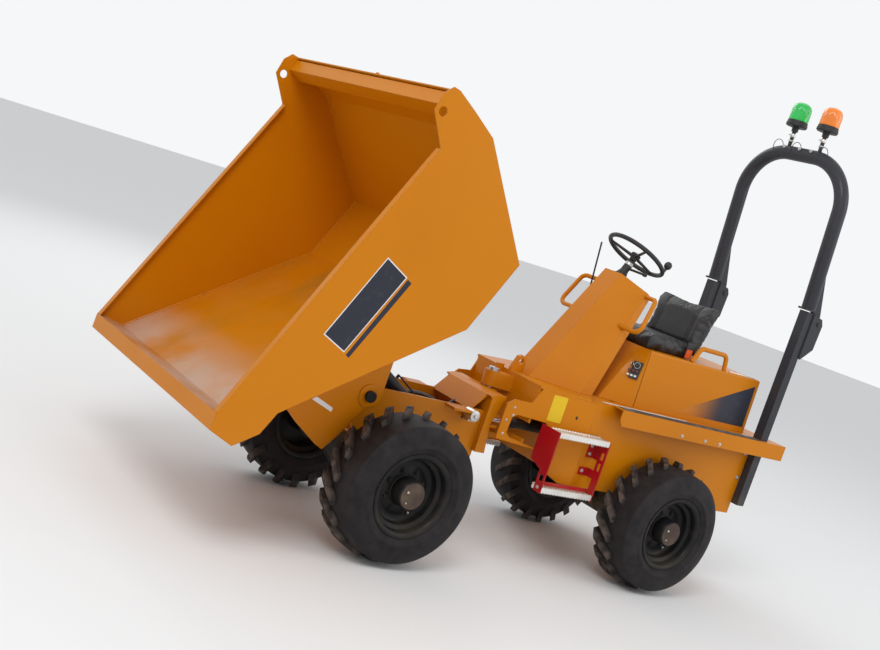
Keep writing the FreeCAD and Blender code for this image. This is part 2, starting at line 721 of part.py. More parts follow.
def bulkhead(above):
    """Wall between the side plates, open round the steering ram, with the two knuckles."""
    back = BULKHEAD_X - BULKHEAD_T
    low = HUB_BOTTOM - KNUCKLE_GAP
    corners = ((BULKHEAD_X, -1), (BULKHEAD_X, 1), (back, 1), (back, -1))
    wall = plan([(x, sign * (side_y(x) - SIDE_T)) for x, sign in corners], HUB_BOTTOM, UNDER_TOP_PLATE)
    gusset = box(KNUCKLE_BACK_X, BULKHEAD_X, -KNUCKLE_HALF, KNUCKLE_HALF, HUB_BOTTOM - 30, HUB_BOTTOM + 4)
    guard = box(BULKHEAD_X, -10, -60, -48, HUB_TOP + KNUCKLE_GAP, KNUCKLE_TOP)
    body = fuse([wall, knuckle(low - KNUCKLE_ARM_T, low), gusset, guard,
                 knuckle(HUB_TOP + KNUCKLE_GAP, KNUCKLE_TOP - 40)]).cut(above).cut(PIN_WAY)
    return body.cut(box(back - 10, BULKHEAD_X + 10, STEER_Y - RAM_ROOM_INSIDE, side_y(back),
                        STEER_Z - RAM_ROOM, STEER_Z + RAM_ROOM))


side, nose = side_plates()
export_pair(side, "rear_side")
export_pair(nose, "nose_side")
export(rear_floor(), "rear_floor")
hinge = hinge_frame()
export(hinge, "hinge_frame")
export(bulkhead(hinge), "bulkhead")
export(cyl(PIN_R, (PIVOT_X, 0, PIN_BOTTOM), (PIVOT_X, 0, PIN_TOP)), "centre_pin")


def deck():
    """Tread plate with folded edges, open under the engine cover."""
    x0 = TAIL_X
    low = DECK_TOP - DECK_FOLD
    fold = [(x0, low), (DECK_WING_X - 22, low), (DECK_WING_X, low + 34), (DECK_WING_X, DECK_TOP),
            (x0, DECK_TOP)]
    pieces = [box(x0, DECK_FRONT_X, -SIDE_Y, SIDE_Y, DECK_TOP - DECK_T, DECK_TOP),
              box(x0, DECK_WING_X, -DECK_EDGE_Y, DECK_EDGE_Y, DECK_TOP - DECK_T, DECK_TOP),
              box(x0, x0 + DECK_T, -DECK_EDGE_Y, DECK_EDGE_Y, low, DECK_TOP)]
    pieces += both_sides(lambda sign: slab(fold, sign * DECK_EDGE_Y, sign * (DECK_EDGE_Y - DECK_T)))
    body = fuse(pieces)
    body = body.cut(box(COVER_X0, -620, -260, 260, DECK_TOP - 50, DECK_TOP + 20))
    half = LEG_SIZE / 2
    for sign in (-1, 1):
        y = sign * LEG_Y
        body = body.cut(box(LEG_X - half, LEG_X + half, y - half, y + half, DECK_TOP - 50, DECK_TOP + 20))
    return body


def engine():
    x0, x1 = ENGINE_X
    z0, z1 = ENGINE_Z
    half = ENGINE_HALF + 30
    feet = [box(x - 30, x + 30, -half, half, FLOOR_Z + FLOOR_T, z0) for x in (x0 + 60, x1 - 60)]
    return fuse([box(x0, x1, -ENGINE_HALF, ENGINE_HALF, z0, z1)] + feet)


def counterweight():
    """Rear weight with a tow jaw and its captive pin."""
    z0, z1 = WEIGHT_Z
    low, high = JAW_Z
    block = box(WEIGHT_BACK_X, CHASSIS_TAIL_X, -WEIGHT_HALF, WEIGHT_HALF, z0, z1)
    jaw = box(WEIGHT_BACK_X - 10, JAW_X, -JAW_HALF, JAW_HALF, low, high)
    return fuse([block.cut(jaw), cyl(TOW_PIN_R, (TOW_X, 0, low - 10), (TOW_X, 0, high + 10))])


export(deck(), "deck")
export(engine(), "engine_block")
export(counterweight(), "counterweight")

# Cowl: a sloping tower, narrow in front and splayed to the rear, cut square to the steering column
TILT = math.radians(COLUMN_TILT)
AXIS = (-math.sin(TILT), math.cos(TILT))
TOP_POINT = (COWL_FRONT[1], DECK_TOP + COWL_H)
COLUMN_FOOT = (TOP_POINT[0] - COLUMN_BACK * AXIS[1], TOP_POINT[1] + COLUMN_BACK * AXIS[0])


def cowl_corner(level, inset=0.0):
    """Front X, and the side corner's X and Y, at a level."""
    t = (level - DECK_TOP) / COWL_H
    front = COWL_FRONT[0] + (COWL_FRONT[1] - COWL_FRONT[0]) * t - inset * 1.2
    length = COWL_SPLAY[0] + (COWL_SPLAY[1] - COWL_SPLAY[0]) * t
    return front, front - 0.8 * length, COWL_NOSE + 0.6 * length - inset * 1.1


def cowl_ring(level, inset):
    t = (level - DECK_TOP) / COWL_H
    depth = COWL_DEPTH[0] + (COWL_DEPTH[1] - COWL_DEPTH[0]) * t
    front, side_x, side = cowl_corner(level, inset)
    nose = COWL_NOSE - inset * 0.5
    rear_x = side_x - depth + 2 * inset
    ring = [(front, -nose), (front, nose), (side_x, side), (rear_x, side), (rear_x, -side), (side_x, -side)]
    points = [V(x, y, level) for x, y in ring]
    return Part.makePolygon(points + [points[0]])


def cowl_block(inset, drop, start):
    """Solid cowl, set in by a wall, its top cut lower by a drop."""
    body = Part.makeLoft([cowl_ring(start, inset), cowl_ring(TOP_POINT[1] + 94.0, inset)], True, True)
    x = TOP_POINT[0] - drop * AXIS[0]
    z = TOP_POINT[1] - drop * AXIS[1]
    above = Part.makeBox(1200, 1200, 400, V(x - 600, -600, z))
    return body.cut(rot(above, -COLUMN_TILT, (x, 0, z)))


COWL_OUTER = cowl_block(0.0, 0.0, DECK_TOP)
export(COWL_OUTER.cut(cowl_block(COWL_WALL, COWL_WALL, DECK_TOP - 1)), "cowl")


def beside_cowl(rise, forward, out):
    """A point placed from the cowl's left side corner at a height above the deck."""
    _, x, y = cowl_corner(DECK_TOP + rise)
    return (x + forward, y + out, DECK_TOP + rise)


def cowl_rail():
    path = [beside_cowl(608, -22, -42), beside_cowl(610, 34, 123), beside_cowl(412, 23, 144),
            beside_cowl(414, 21, -70)]
    return tube(path, GRIP_R, GRIP_BEND).cut(COWL_OUTER)


def lever():
    """Slim lever on a foot at the cowl's right side."""
    x, y, z = beside_cowl(505, 0, 0)
    rod = cyl(5.0, (x - 20, -y - 28, z + 9), (x + 10, -y - 33, z + 319))
    foot = box(x - 80, x - 5, -y - 43, -y + 32, z - 11, z + 11)
    return fuse([rod, foot]).cut(COWL_OUTER)


export_pair(cowl_rail(), "cowl_rail")
export(lever(), "dash_lever")


def on_axis(distance):
    """Point on the column's axis, above the cowl's top."""
    return (COLUMN_FOOT[0] + AXIS[0] * distance, 0.0, COLUMN_FOOT[1] + AXIS[1] * distance)


def column():
    flange = cyl(COLUMN_FLANGE_R, on_axis(0), on_axis(COLUMN_FLANGE_T))
    post = cyl(COLUMN_R, on_axis(0), on_axis(COLUMN_LEN))
    boot = Part.makeCone(38.0, COLUMN_R, 40.0, V(*on_axis(COLUMN_FLANGE_T)), V(AXIS[0], 0, AXIS[1]))
    x, _, z = on_axis(70)
    stalk = cyl(STALK_R, (x, 0, z), (x - 20, STALK_LEN, z - 4))
    body = fuse([flange, post, boot, stalk])
    return body.cut(cyl(SHAFT_R + PIN_FIT, on_axis(60), on_axis(COLUMN_LEN + 1)))


def steering_wheel():
    """Three-spoke wheel with a spinner knob, on a shaft that runs down into the column."""
    pieces = [Part.makeTorus(WHEEL_R, WHEEL_TUBE_R, V(0, 0, 0), V(0, 0, 1)),
              cyl(30.0, (0, 0, -40), (0, 0, 4))]
    for angle in (60, 180, 300):
        x = math.cos(math.radians(angle)) * (WHEEL_R - 2)
        y = math.sin(math.radians(angle)) * (WHEEL_R - 2)
        pieces.append(cyl(SPOKE_R, (0, 0, -16), (x, y, 0)))
    knob = WHEEL_R * math.sqrt(0.5)
    pieces.append(cyl(SPOKE_R + 2, (-knob, knob, 0), (-knob, knob, 50)))
    pieces.append(Part.makeSphere(KNOB_R, V(-knob, knob, 60)))
    pieces.append(cyl(SHAFT_R, (0, 0, 66 - COLUMN_RISE), (0, 0, -30)))
    x, _, z = on_axis(COLUMN_RISE)
    return shift(rot(fuse(pieces), -COLUMN_TILT), x, 0, z)


export(column(), "steering_column")
export(steering_wheel(), "steering_wheel")

# Engine cover, hinged at its rear foot, and the fixed heel panel ahead of it
COVER_FOOT = DECK_TOP + CURVE_GAP
HEEL_KNEE_X = -730.0
HEEL_NOSE = 210.0
PANEL_SPAN = (0.10, 0.52)
PANEL_RISE = (0.46, 0.76)
PANEL_PROUD = 10.0
PANEL_SUNK = 18.0


def cover():
    low, wall = COVER_HALF, COVER_WALL
    top = low - COVER_LEAN
    x0, x1 = COVER_X0, SPLIT_X - MOVE_GAP
    outer = loft_box([(x0, -low), (x0, low), (x1, low), (x1, -low)],
                     [(x0, -top), (x0, top), (x1, top), (x1, -top)],
                     COVER_FOOT, COVER_TOP)
    rounded = [e for e in outer.Edges if e.BoundBox.ZMin > COVER_TOP - 1 and e.BoundBox.XMin < x1 - 1]
    outer = outer.makeFillet(12.0, rounded)
    x0, x1, low, top = x0 + wall, x1 - wall, low - wall, top - wall
    inner = loft_box([(x0, -low), (x0, low), (x1, low), (x1, -low)],
                     [(x0, -top), (x0, top), (x1, top), (x1, -top)],
                     COVER_FOOT - 1, COVER_TOP - wall)
    hinges = both_sides(lambda sign: cross_pin(HINGE_R, COVER_X0, COVER_FOOT + HINGE_R,
                                               sign * HINGE_Y - HINGE_LEN / 2,
                                               sign * HINGE_Y + HINGE_LEN / 2))
    return fuse([outer.cut(inner)] + hinges)


def heel_rings(inset):
    """Outlines of the heel panel at its foot and its top, set in by a wall."""
    back = SPLIT_X - (1.0 if inset else 0.0)
    low = COVER_HALF - inset
    top = COVER_HALF - COVER_LEAN - inset
    nose = HEEL_NOSE - inset * 0.4
    foot = [(HEEL_KNEE_X - inset * 0.4, low), (COVER_X1 - inset, nose)]
    head = [(SPLIT_X + 4 + inset * 0.2, top - 1), (SPLIT_X + 9 + inset * 0.6, nose - 5)]
    rings = []
    for side, corner in ((foot, (back, low)), (head, (back, top))):
        half = [corner] + side
        rings.append(half + [(x, -y) for x, y in half[::-1]])
    return rings


HEEL_OUTER = loft_box(*heel_rings(0.0), COVER_FOOT, COVER_TOP)


def heel_panel():
    return HEEL_OUTER.cut(loft_box(*heel_rings(COVER_WALL), COVER_FOOT - 1, COVER_TOP - 20))


def control_panel():
    """Shallow box on the left chamfer of the heel panel."""
    foot, head = heel_rings(0.0)

    def place(span, rise):
        low = V(*foot[1], COVER_FOOT) * (1 - span) + V(*foot[2], COVER_FOOT) * span
        high = V(*head[1], COVER_TOP) * (1 - span) + V(*head[2], COVER_TOP) * span
        return low * (1 - rise) + high * rise

    a = place(PANEL_SPAN[0], PANEL_RISE[0])
    b = place(PANEL_SPAN[1], PANEL_RISE[0])
    d = place(PANEL_SPAN[0], PANEL_RISE[1])
    out = (b - a).cross(d - a).normalize()
    if out.x < 0:
        out = out * -1
    ring = [p - out * PANEL_SUNK for p in (a, b, b + d - a, d)]
    block = Part.Face(Part.makePolygon(ring + [ring[0]])).extrude(out * (PANEL_SUNK + PANEL_PROUD))
    behind = box(SPLIT_X - 2 * PANEL_SUNK, SPLIT_X, 0, COVER_HALF + PANEL_SUNK, COVER_FOOT, COVER_TOP)
    return block.cut(HEEL_OUTER).cut(behind)


export(heel_panel(), "heel_panel")
export(control_panel(), "control_panel")
export(cover(), "engine_cover")


def seat_cushion():
    x0, x1 = SEAT_X
    body = box(x0, x1, -SEAT_HALF, SEAT_HALF, COVER_TOP, COVER_TOP + SEAT_H)
    return body.makeFillet(SEAT_ROUND, [e for e in body.Edges if e.BoundBox.ZMin > COVER_TOP + SEAT_H - 5])


def seat_back():
    x, z = SEAT_X[0], COVER_TOP
    outline = [(x, z), (x - BACK_T, z), (x - BACK_T - BACK_RAKE, z + BACK_H - 15),
               (x - BACK_T + 5, z + BACK_H), (x, z + 40)]
    return slab(outline, 5 - SEAT_HALF, SEAT_HALF - 5)


def hip_rail():
    z = COVER_TOP
    path = [(-1130, HIP_Y, z), (-1175, HIP_Y, z + HIP_H), (-1400, HIP_Y, z + HIP_H), (-1420, HIP_Y, z)]
    return tube(path, HIP_R, HIP_BEND).cut(box(-1600, -1000, HIP_Y - 100, HIP_Y + 100, z - 100, z))


export(seat_cushion(), "seat_cushion")
export(seat_back(), "seat_back")
export_pair(hip_rail(), "hip_rail")

# Steps: two webs bolted to each side plate carry two serrated treads
STEP_LOW = STEP_LOWER_Z - STEP_H


def step_flange(x0, x1, z0, z1):
    """Strip that lies on the side plate's outer face."""
    return plan([(x0, side_y(x0)), (x1, side_y(x1)), (x1, side_y(x1) + STEP_WALL),
                 (x0, side_y(x0) + STEP_WALL)], z0, z1)


def front_web():
    x = STEP_X[1]
    outer = STEP_Y[1]
    strip = outer - 58
    web = across([(side_y(x), STEP_UPPER_Z), (outer, STEP_UPPER_Z), (outer, STEP_LOW), (strip, STEP_LOW),
                  (strip, 560),
                  (side_y(x), 590)], x, x + WEB_T)
    slot = box(x - 1, x + WEB_T + 1, strip + 12, outer - 12, 505, 540)
    return [web.cut(slot), step_flange(x - 48, x + WEB_T, 600, STEP_UPPER_Z - STEP_H - 6)]


def rear_web():
    x = STEP_X[0]
    inner, outer = side_y(x), STEP_Y[1]
    web = across([(inner, STEP_UPPER_Z), (outer, STEP_UPPER_Z), (outer, STEP_LOW), (outer - 46, STEP_LOW),
                  (outer - 46, 560), (inner, 560), (inner, 606), (outer - 52, 606), (outer - 52, 664),
                  (inner, 664)],
                 x - WEB_T, x)
    for z0, z1 in ((612, 656), (676, 716)):
        web = web.cut(box(x - WEB_T - 1, x + 1, outer - 38, outer - 14, z0, z1))
    upper = step_flange(x - WEB_T, x + 50, 664, STEP_UPPER_Z - STEP_H - 6)
    return [web, upper, step_flange(x - WEB_T, x + 66, 560, 606)]


def step_frame():
    """Front and rear webs joined by a bar behind the lower tread."""
    x0, x1 = STEP_X
    y = STEP_Y[1] - 46
    bar = box(x0 - WEB_T, x1 + WEB_T, y, y + 6, STEP_LOWER_Z + 6, STEP_LOWER_Z + 26)
    return fuse(front_web() + rear_web() + [bar])


def lip(y, top):
    """Strip with saw teeth along its upper and lower edges."""
    x0, x1 = STEP_X
    teeth = STEP_HOLES * 2
    pitch = (x1 - x0) / teeth
    upper = [(x0 + pitch * i / 2, top + (TOOTH_H if i % 2 else 0.0)) for i in range(2 * teeth + 1)]
    low = top - STEP_H
    lower = [(x0 + pitch * i / 2, low + (0.0 if i % 2 else TOOTH_H)) for i in range(2 * teeth + 1)]
    return slab(upper + lower[::-1], y, y + STEP_WALL)


def tread(top):
    """Folded plate with toothed lips and two rows of holes."""
    x0, x1 = STEP_X
    y0, y1 = STEP_Y
    plate = box(x0, x1, y0, y1, top - STEP_WALL, top)
    body = fuse([plate, lip(y0, top), lip(y1 - STEP_WALL, top)])
    pitch = (x1 - x0) / STEP_HOLES
    for y in (y0 + (y1 - y0) * 0.32, y0 + (y1 - y0) * 0.68):
        for i in range(STEP_HOLES):
            x = x0 + pitch * (i + 0.5)
            body = body.cut(cyl(STEP_HOLE_R, (x, y, top - 10), (x, y, top + 10)))
    return body


export_pair(step_frame(), "step_frame")
export_pair(tread(STEP_UPPER_Z), "step_upper")
export_pair(tread(STEP_LOWER_Z), "step_lower")


def leg():
    """Square fixed leg of the rollover hoop, with the ears of its folding hinge."""
    half = LEG_SIZE / 2
    bore = half - LEG_WALL
    outer = box(LEG_X - half, LEG_X + half, LEG_Y - half, LEG_Y + half, LEG_BOTTOM, LEG_TOP)
    inner = box(LEG_X - bore, LEG_X + bore, LEG_Y - bore, LEG_Y + bore, LEG_BOTTOM - 1, LEG_TOP - 10)
    back = LEG_X - half
    ear = [(back + 4, 1520), (back - 8, 1512), (FOLD_X - 33, 1590), (FOLD_X - 40, FOLD_Z),
           (FOLD_X - 20, FOLD_Z + 35),
           (back + 4, LEG_TOP - 4)]
    ears = both_sides(lambda s: slab(ear, LEG_Y + s * (half - 3), LEG_Y + s * (half - 3 + FOLD_LUG_T)))
    reach = half + FOLD_LUG_T + 4
    pin = cross_pin(FOLD_PIN_R, FOLD_X, FOLD_Z, LEG_Y - reach, LEG_Y + reach)
    return fuse([outer.cut(inner)] + ears + [pin])


HOOP_FOOT = LEG_TOP + MOVE_GAP


def hoop():
    """Bent tube that leans forward a little, with a foot plate and a fold fin on each side."""
    base = HOOP_FOOT
    path = [(LEG_X, LEG_Y, base + 8), (LEG_X, LEG_Y, HOOP_TOP), (LEG_X, -LEG_Y, HOOP_TOP),
            (LEG_X, -LEG_Y, base + 8)]
    pieces = [rot(tube(path, HOOP_R, HOOP_BEND), HOOP_LEAN, (LEG_X, 0, base))]
    fin = [(LEG_X - 28, base), (LEG_X - 43, base), (FOLD_X + 35, FOLD_Z + 50), (FOLD_X + 29, FOLD_Z - 5),
           (FOLD_X + 15, FOLD_Z - 29), (FOLD_X - 15, FOLD_Z - 29), (FOLD_X - 31, FOLD_Z),
           (FOLD_X - 20, FOLD_Z + 55),
           (LEG_X - 27, base + 244), (LEG_X - 10, base + 244)]
    for sign in (-1, 1):
        y = sign * LEG_Y
        pieces.append(box(LEG_X - HOOP_R, LEG_X + HOOP_R, y - HOOP_R, y + HOOP_R, base, base + 12))
        pieces.append(slab(fin, y - FIN_HALF, y + FIN_HALF))
    far = LEG_Y + 110
    return fuse(pieces).cut(cross_pin(FOLD_PIN_R + PIN_FIT, FOLD_X, FOLD_Z, -far, far))


HOOP = hoop()
export_pair(leg(), "rops_leg")
export(HOOP, "rops_hoop")


def beacon(y):
    """Lamp on a stem, clamped on the top of the hoop."""
    lean = math.radians(HOOP_LEAN)
    rise = HOOP_TOP + HOOP_R - HOOP_FOOT
    x, z = LEG_X + rise * math.sin(lean), HOOP_FOOT + rise * math.cos(lean)
    base_top = BEACON_STEM + BEACON_BASE_H
    dome_r = BEACON_BASE_R - 5
    outline = [(0, -8), (17, -8), (17, 26), (BEACON_STEM_R, 30), (BEACON_STEM_R, BEACON_STEM - 16),
               (BEACON_STEM_R * 2, BEACON_STEM - 10), (BEACON_BASE_R - 4, BEACON_STEM),
               (BEACON_BASE_R, BEACON_STEM + 6),
               (BEACON_BASE_R, base_top - 4), (dome_r, base_top),
               (dome_r - 5, base_top + BEACON_DOME_H * 0.5),
               (dome_r - 17, base_top + BEACON_DOME_H * 0.84), (dome_r - 36, base_top + BEACON_DOME_H),
               (0, base_top + BEACON_DOME_H)]
    lamp = rot(spin(outline), 90.0, axis=(1, 0, 0))
    return shift(lamp, x, y, z).cut(HOOP)


export(beacon(-BEACON_Y), "beacon_green")
export(beacon(BEACON_Y), "beacon_amber")
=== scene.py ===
"""Looks of an articulated site dumper with a high tipping skip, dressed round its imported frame.

All sizes are in metres in the machine's own frame: +X forward to the skip, +Y to the driver's left, +Z up.
"""

import json
import logging
import math
from dataclasses import dataclass
from enum import Enum
from typing import Callable, ClassVar, Iterable, Optional, Sequence, Union

import bmesh
import bpy
from mathutils import Matrix, Vector


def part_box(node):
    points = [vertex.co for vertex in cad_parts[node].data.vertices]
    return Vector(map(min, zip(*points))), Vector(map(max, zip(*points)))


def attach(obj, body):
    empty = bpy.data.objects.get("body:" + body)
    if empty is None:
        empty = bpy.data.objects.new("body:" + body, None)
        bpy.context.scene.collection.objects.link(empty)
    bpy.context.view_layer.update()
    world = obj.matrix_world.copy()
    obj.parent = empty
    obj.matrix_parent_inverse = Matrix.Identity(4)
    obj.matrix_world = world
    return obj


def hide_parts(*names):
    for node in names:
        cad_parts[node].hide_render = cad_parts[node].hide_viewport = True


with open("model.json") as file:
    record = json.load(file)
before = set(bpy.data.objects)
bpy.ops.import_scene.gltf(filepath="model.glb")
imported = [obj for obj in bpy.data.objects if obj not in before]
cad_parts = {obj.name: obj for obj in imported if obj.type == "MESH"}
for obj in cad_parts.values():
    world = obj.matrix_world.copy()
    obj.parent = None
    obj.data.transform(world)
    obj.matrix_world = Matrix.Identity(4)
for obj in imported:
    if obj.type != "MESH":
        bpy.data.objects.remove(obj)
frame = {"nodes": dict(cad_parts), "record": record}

log = logging.getLogger("site_dumper")
Rgb = tuple[float, float, float]
Point = tuple[float, float, float]
Spot = Union[Point, Vector]
Pair = tuple[float, float]
Line = Sequence[Pair]

# The machine's ways, and a scale that stretches nothing.
ORIGIN = Vector((0.0, 0.0, 0.0))
ALONG_X = Vector((1.0, 0.0, 0.0))
ALONG_Y = Vector((0.0, 1.0, 0.0))
UP = Vector((0.0, 0.0, 1.0))
EVEN = (1.0, 1.0, 1.0)
# How far fixings, and strips and films, sink into the face that carries them, and a label's thickness.
SEATED = 0.0003
LAID = 0.0004
LABEL_FILM = 0.0006
# Points nearer than this are merged, and edges sharper than this many degrees stay crisp.
MERGE = 1e-6
CRISP = 35.0


class Body(str, Enum):
    """The machine's moving bodies that take dressed pieces."""

    REAR = "rear_frame"
    FRONT = "front_frame"
    SKIP = "skip"
    COVER = "cover"
    HOOP = "hoop"
    HAND_WHEEL = "steering_wheel"


class Side(Enum):
    """Which side of the machine a piece is on, seen by the driver."""

    LEFT = 1
    RIGHT = -1

    @property
    def word(self) -> str:
        """The side as it is written in a node's name."""
        return self.name.lower()


class Signal:
    """One number in a shader, held by an output socket, that can be used in arithmetic."""

    def __init__(self, graph: "Graph", socket: bpy.types.NodeSocket) -> None:
        """Wraps a socket of a graph's node."""
        self.graph = graph
        self.socket = socket

    def _math(self, operation: str, first: "Operand", second: "Operand" = 0.0) -> "Signal":
        """Adds one Math node on two operands."""
        node = self.graph.node("ShaderNodeMath", {"operation": operation}, {0: first, 1: second})
        return Signal(self.graph, node.outputs[0])

    def __add__(self, other: "Operand") -> "Signal":
        """Sum."""
        return self._math("ADD", self, other)

    __radd__ = __add__

    def __sub__(self, other: "Operand") -> "Signal":
        """Difference."""
        return self._math("SUBTRACT", self, other)

    def __rsub__(self, other: "Operand") -> "Signal":
        """Difference from a number."""
        return self._math("SUBTRACT", other, self)

    def __mul__(self, other: "Operand") -> "Signal":
        """Product."""
        return self._math("MULTIPLY", self, other)

    __rmul__ = __mul__

    def least(self, other: "Operand") -> "Signal":
        """The smaller of two."""
        return self._math("MINIMUM", self, other)

    def most(self, other: "Operand") -> "Signal":
        """The larger of two."""
        return self._math("MAXIMUM", self, other)

    def ramp(self, low: float, high: float) -> "Signal":
        """Smooth step from 0 at one value to 1 at another, which may be the lower one."""
        node = self.graph.node(
            "ShaderNodeMapRange", {"interpolation_type": "SMOOTHSTEP"},
            {"Value": self, "From Min": low, "From Max": high, "To Min": 0.0, "To Max": 1.0})
        return Signal(self.graph, node.outputs[0])


Operand = Union[Signal, float]


class Graph:
    """The node tree of a material, round one Principled shader, or of a world."""

    def __init__(self, owner: Union[bpy.types.Material, bpy.types.World]) -> None:
        """Empties the tree of its owner."""
        self.owner = owner
        owner.use_nodes = True
        self.tree = owner.node_tree
        self.tree.nodes.clear()

    @classmethod
    def named(cls, name: str) -> "Graph":
        """The empty tree of a new material."""
        return cls(bpy.data.materials.new(name))

    def node(self, kind: str, settings: Optional[dict] = None,
             inputs: Optional[dict] = None) -> bpy.types.Node:
        """Adds one node.

        Args:
            kind: Blender's name of the node type.
            settings: attributes, set before the sockets.
            inputs: socket names or numbers, with a value, a Signal or an output socket.

        Returns:
            The node.
        """
        made = self.tree.nodes.new(kind)
        for key, value in (settings or {}).items():
            setattr(made, key, value)
        for key, value in (inputs or {}).items():
            socket = made.inputs[key]
            if isinstance(value, Signal):
                self.tree.links.new(value.socket, socket)
            elif isinstance(value, bpy.types.NodeSocket):
                self.tree.links.new(value, socket)
            elif socket.type == "RGBA" and len(value) == 3:
                socket.default_value = (*value, 1.0)
            else:
                socket.default_value = value
        return made

    def place(self, scale: Point = EVEN) -> bpy.types.NodeSocket:
        """Object coordinates, stretched by a scale."""
        coords = self.node("ShaderNodeTexCoord").outputs["Object"]
        return self.node("ShaderNodeMapping", {}, {"Vector": coords, "Scale": scale}).outputs[0]

    def axis(self, name: str, output: str = "Object") -> Signal:
        """One component, X, Y or Z, of the place or the normal in object space."""
        coords = self.node("ShaderNodeTexCoord").outputs[output]
        return Signal(self, self.node("ShaderNodeSeparateXYZ", {}, {0: coords}).outputs[name])

    def noise(self, scale: float, detail: float = 3.0, stretch: Point = EVEN) -> Signal:
        """Fractal noise from 0 to 1."""
        node = self.node("ShaderNodeTexNoise", {},
                         {"Vector": self.place(stretch), "Scale": scale, "Detail": detail})
        return Signal(self, node.outputs[0])

    def cells(self, scale: float, feature: str = "F1") -> Signal:
        """Distance in a Voronoi pattern."""
        node = self.node("ShaderNodeTexVoronoi", {"feature": feature},
                         {"Vector": self.place(), "Scale": scale})
        return Signal(self, node.outputs["Distance"])

    def attribute(self, name: str) -> Signal:
        """A number kept on the mesh."""
        return Signal(self, self.node("ShaderNodeAttribute", {"attribute_name": name}).outputs["Fac"])

    def mix(self, factor: Operand, first: Union[Rgb, bpy.types.NodeSocket],
            second: Union[Rgb, bpy.types.NodeSocket]) -> bpy.types.NodeSocket:
        """Blend of two colours."""
        node = self.node("ShaderNodeMix", {"data_type": "RGBA"}, {"Factor": factor, 6: first, 7: second})
        return node.outputs[2]

    def soft_edge(self, radius: float) -> tuple[bpy.types.NodeSocket, Signal]:
        """Rounded normal and how far it leans from the true one, which is above 0 at edges.

        Args:
            radius: the edge's radius.

        Returns:
            The normal's socket, and the lean from 0 to 1.
        """
        rounded = self.node("ShaderNodeBevel", {"samples": 4}, {"Radius": radius}).outputs[0]
        flat = self.node("ShaderNodeNewGeometry").outputs["Normal"]
        dot = self.node("ShaderNodeVectorMath", {"operation": "DOT_PRODUCT"}, {0: rounded, 1: flat})
        return rounded, 1.0 - Signal(self, dot.outputs["Value"])

    def finish(self, height: Optional[Signal] = None, depth: float = 0.001,
               normal: Optional[bpy.types.NodeSocket] = None, **sockets: object) -> bpy.types.Material:
        """Adds the shader and the output.

        Args:
            height: what the bump follows.
            depth: the bump's height at 1.
            normal: the normal under the bump.
            sockets: the shader's sockets, their spaces written as underscores.

        Returns:
            The finished material.
        """
        inputs = {key.replace("_", " "): value for key, value in sockets.items()}
        if height is not None:
            bump_in = {"Height": height, "Distance": depth, "Strength": 1.0}
            if normal is not None:
                bump_in["Normal"] = normal
            inputs["Normal"] = self.node("ShaderNodeBump", {}, bump_in).outputs[0]
        elif normal is not None:
            inputs["Normal"] = normal
        shader = self.node("ShaderNodeBsdfPrincipled", {}, inputs)
        self.node("ShaderNodeOutputMaterial", {}, {0: shader.outputs[0]})
        return self.owner


@dataclass(frozen=True)
class Paint:
    """Sprayed paint on steel, with dust on what faces up, mud splash low down, chips, scrapes and a painted
    sheen.
    """

    name: str
    colour: Rgb
    faded: Rgb
    dust: float = 0.35
    splash_top: float = 0.9
    roughness: float = 0.36
    coat: float = 0.08
    edge: float = 0.004
    scrape: float = 0.0
    chip: Rgb = (0.10, 0.075, 0.06)
    dust_colour: Rgb = (0.40, 0.30, 0.18)
    scrape_colour: Rgb = (0.30, 0.150, 0.016)
    # Pale colour near the skip's lip: paint polished by loads, with a painted sheen laid over it.
    polish_colour: Rgb = (0.56, 0.43, 0.35)
    wall_inside: float = 0.760
    wall_outside: float = 0.768
    lip_span: Pair = (1.52, 1.80)

    def build(self) -> bpy.types.Material:
        """Makes the material."""
        g = Graph.named(self.name)
        rounded, lean = g.soft_edge(self.edge)
        fade = g.noise(1.6, 4.0).ramp(0.38, 0.72)
        speck = g.noise(38.0, 6.0)
        tone = g.mix(fade * 0.55, self.colour, self.faded)
        up = g.axis("Z", "Normal").ramp(0.25, 0.95)
        splash = g.axis("Z").ramp(self.splash_top, 0.25) * g.noise(7.0, 5.0).ramp(0.42, 0.66)
        settled = up * g.noise(5.0, 5.0).ramp(0.36, 0.68)
        film = (settled * 0.6 + splash * 0.8 + speck.ramp(0.66, 0.8) * 0.2) * self.dust
        dusty = g.mix(film.least(0.9), tone, self.dust_colour)
        chips = lean.ramp(0.02, 0.09) * g.noise(90.0, 3.0).ramp(0.56, 0.63)
        colour = g.mix(chips, dusty, self.chip)
        rough = film * 0.45 + chips * 0.25 + self.roughness + fade * 0.05
        if self.scrape > 0:
            near, far = self.wall_inside, self.wall_outside
            inside = up * g.axis("Y").ramp(far, near) * g.axis("Y").ramp(-far, -near)
            streak = g.noise(1.7, 6.0, (1.0, 3.0, 1.0)).ramp(0.40, 0.78) * inside * self.scrape
            colour = g.mix(streak, colour, self.scrape_colour)
            # Pale patch inside near the lip: partly wear polished by loads, partly a painted sheen standing
            # in for a reflection.
            lip_polish_and_sheen = g.axis("X").ramp(*self.lip_span) * g.noise(2.2, 4.0).ramp(0.30, 0.62) * inside * 0.8
            colour = g.mix(lip_polish_and_sheen, colour, self.polish_colour)
            rough = rough - lip_polish_and_sheen * 0.10
        peel = g.noise(170.0, 2.0) * 0.3 + g.noise(3.0, 2.0) * 0.9
        return g.finish(peel, 0.0010, rounded, Base_Color=colour, Roughness=rough.least(0.95),
                        Coat_Weight=self.coat, Coat_Roughness=0.12, Specular_IOR_Level=0.16)


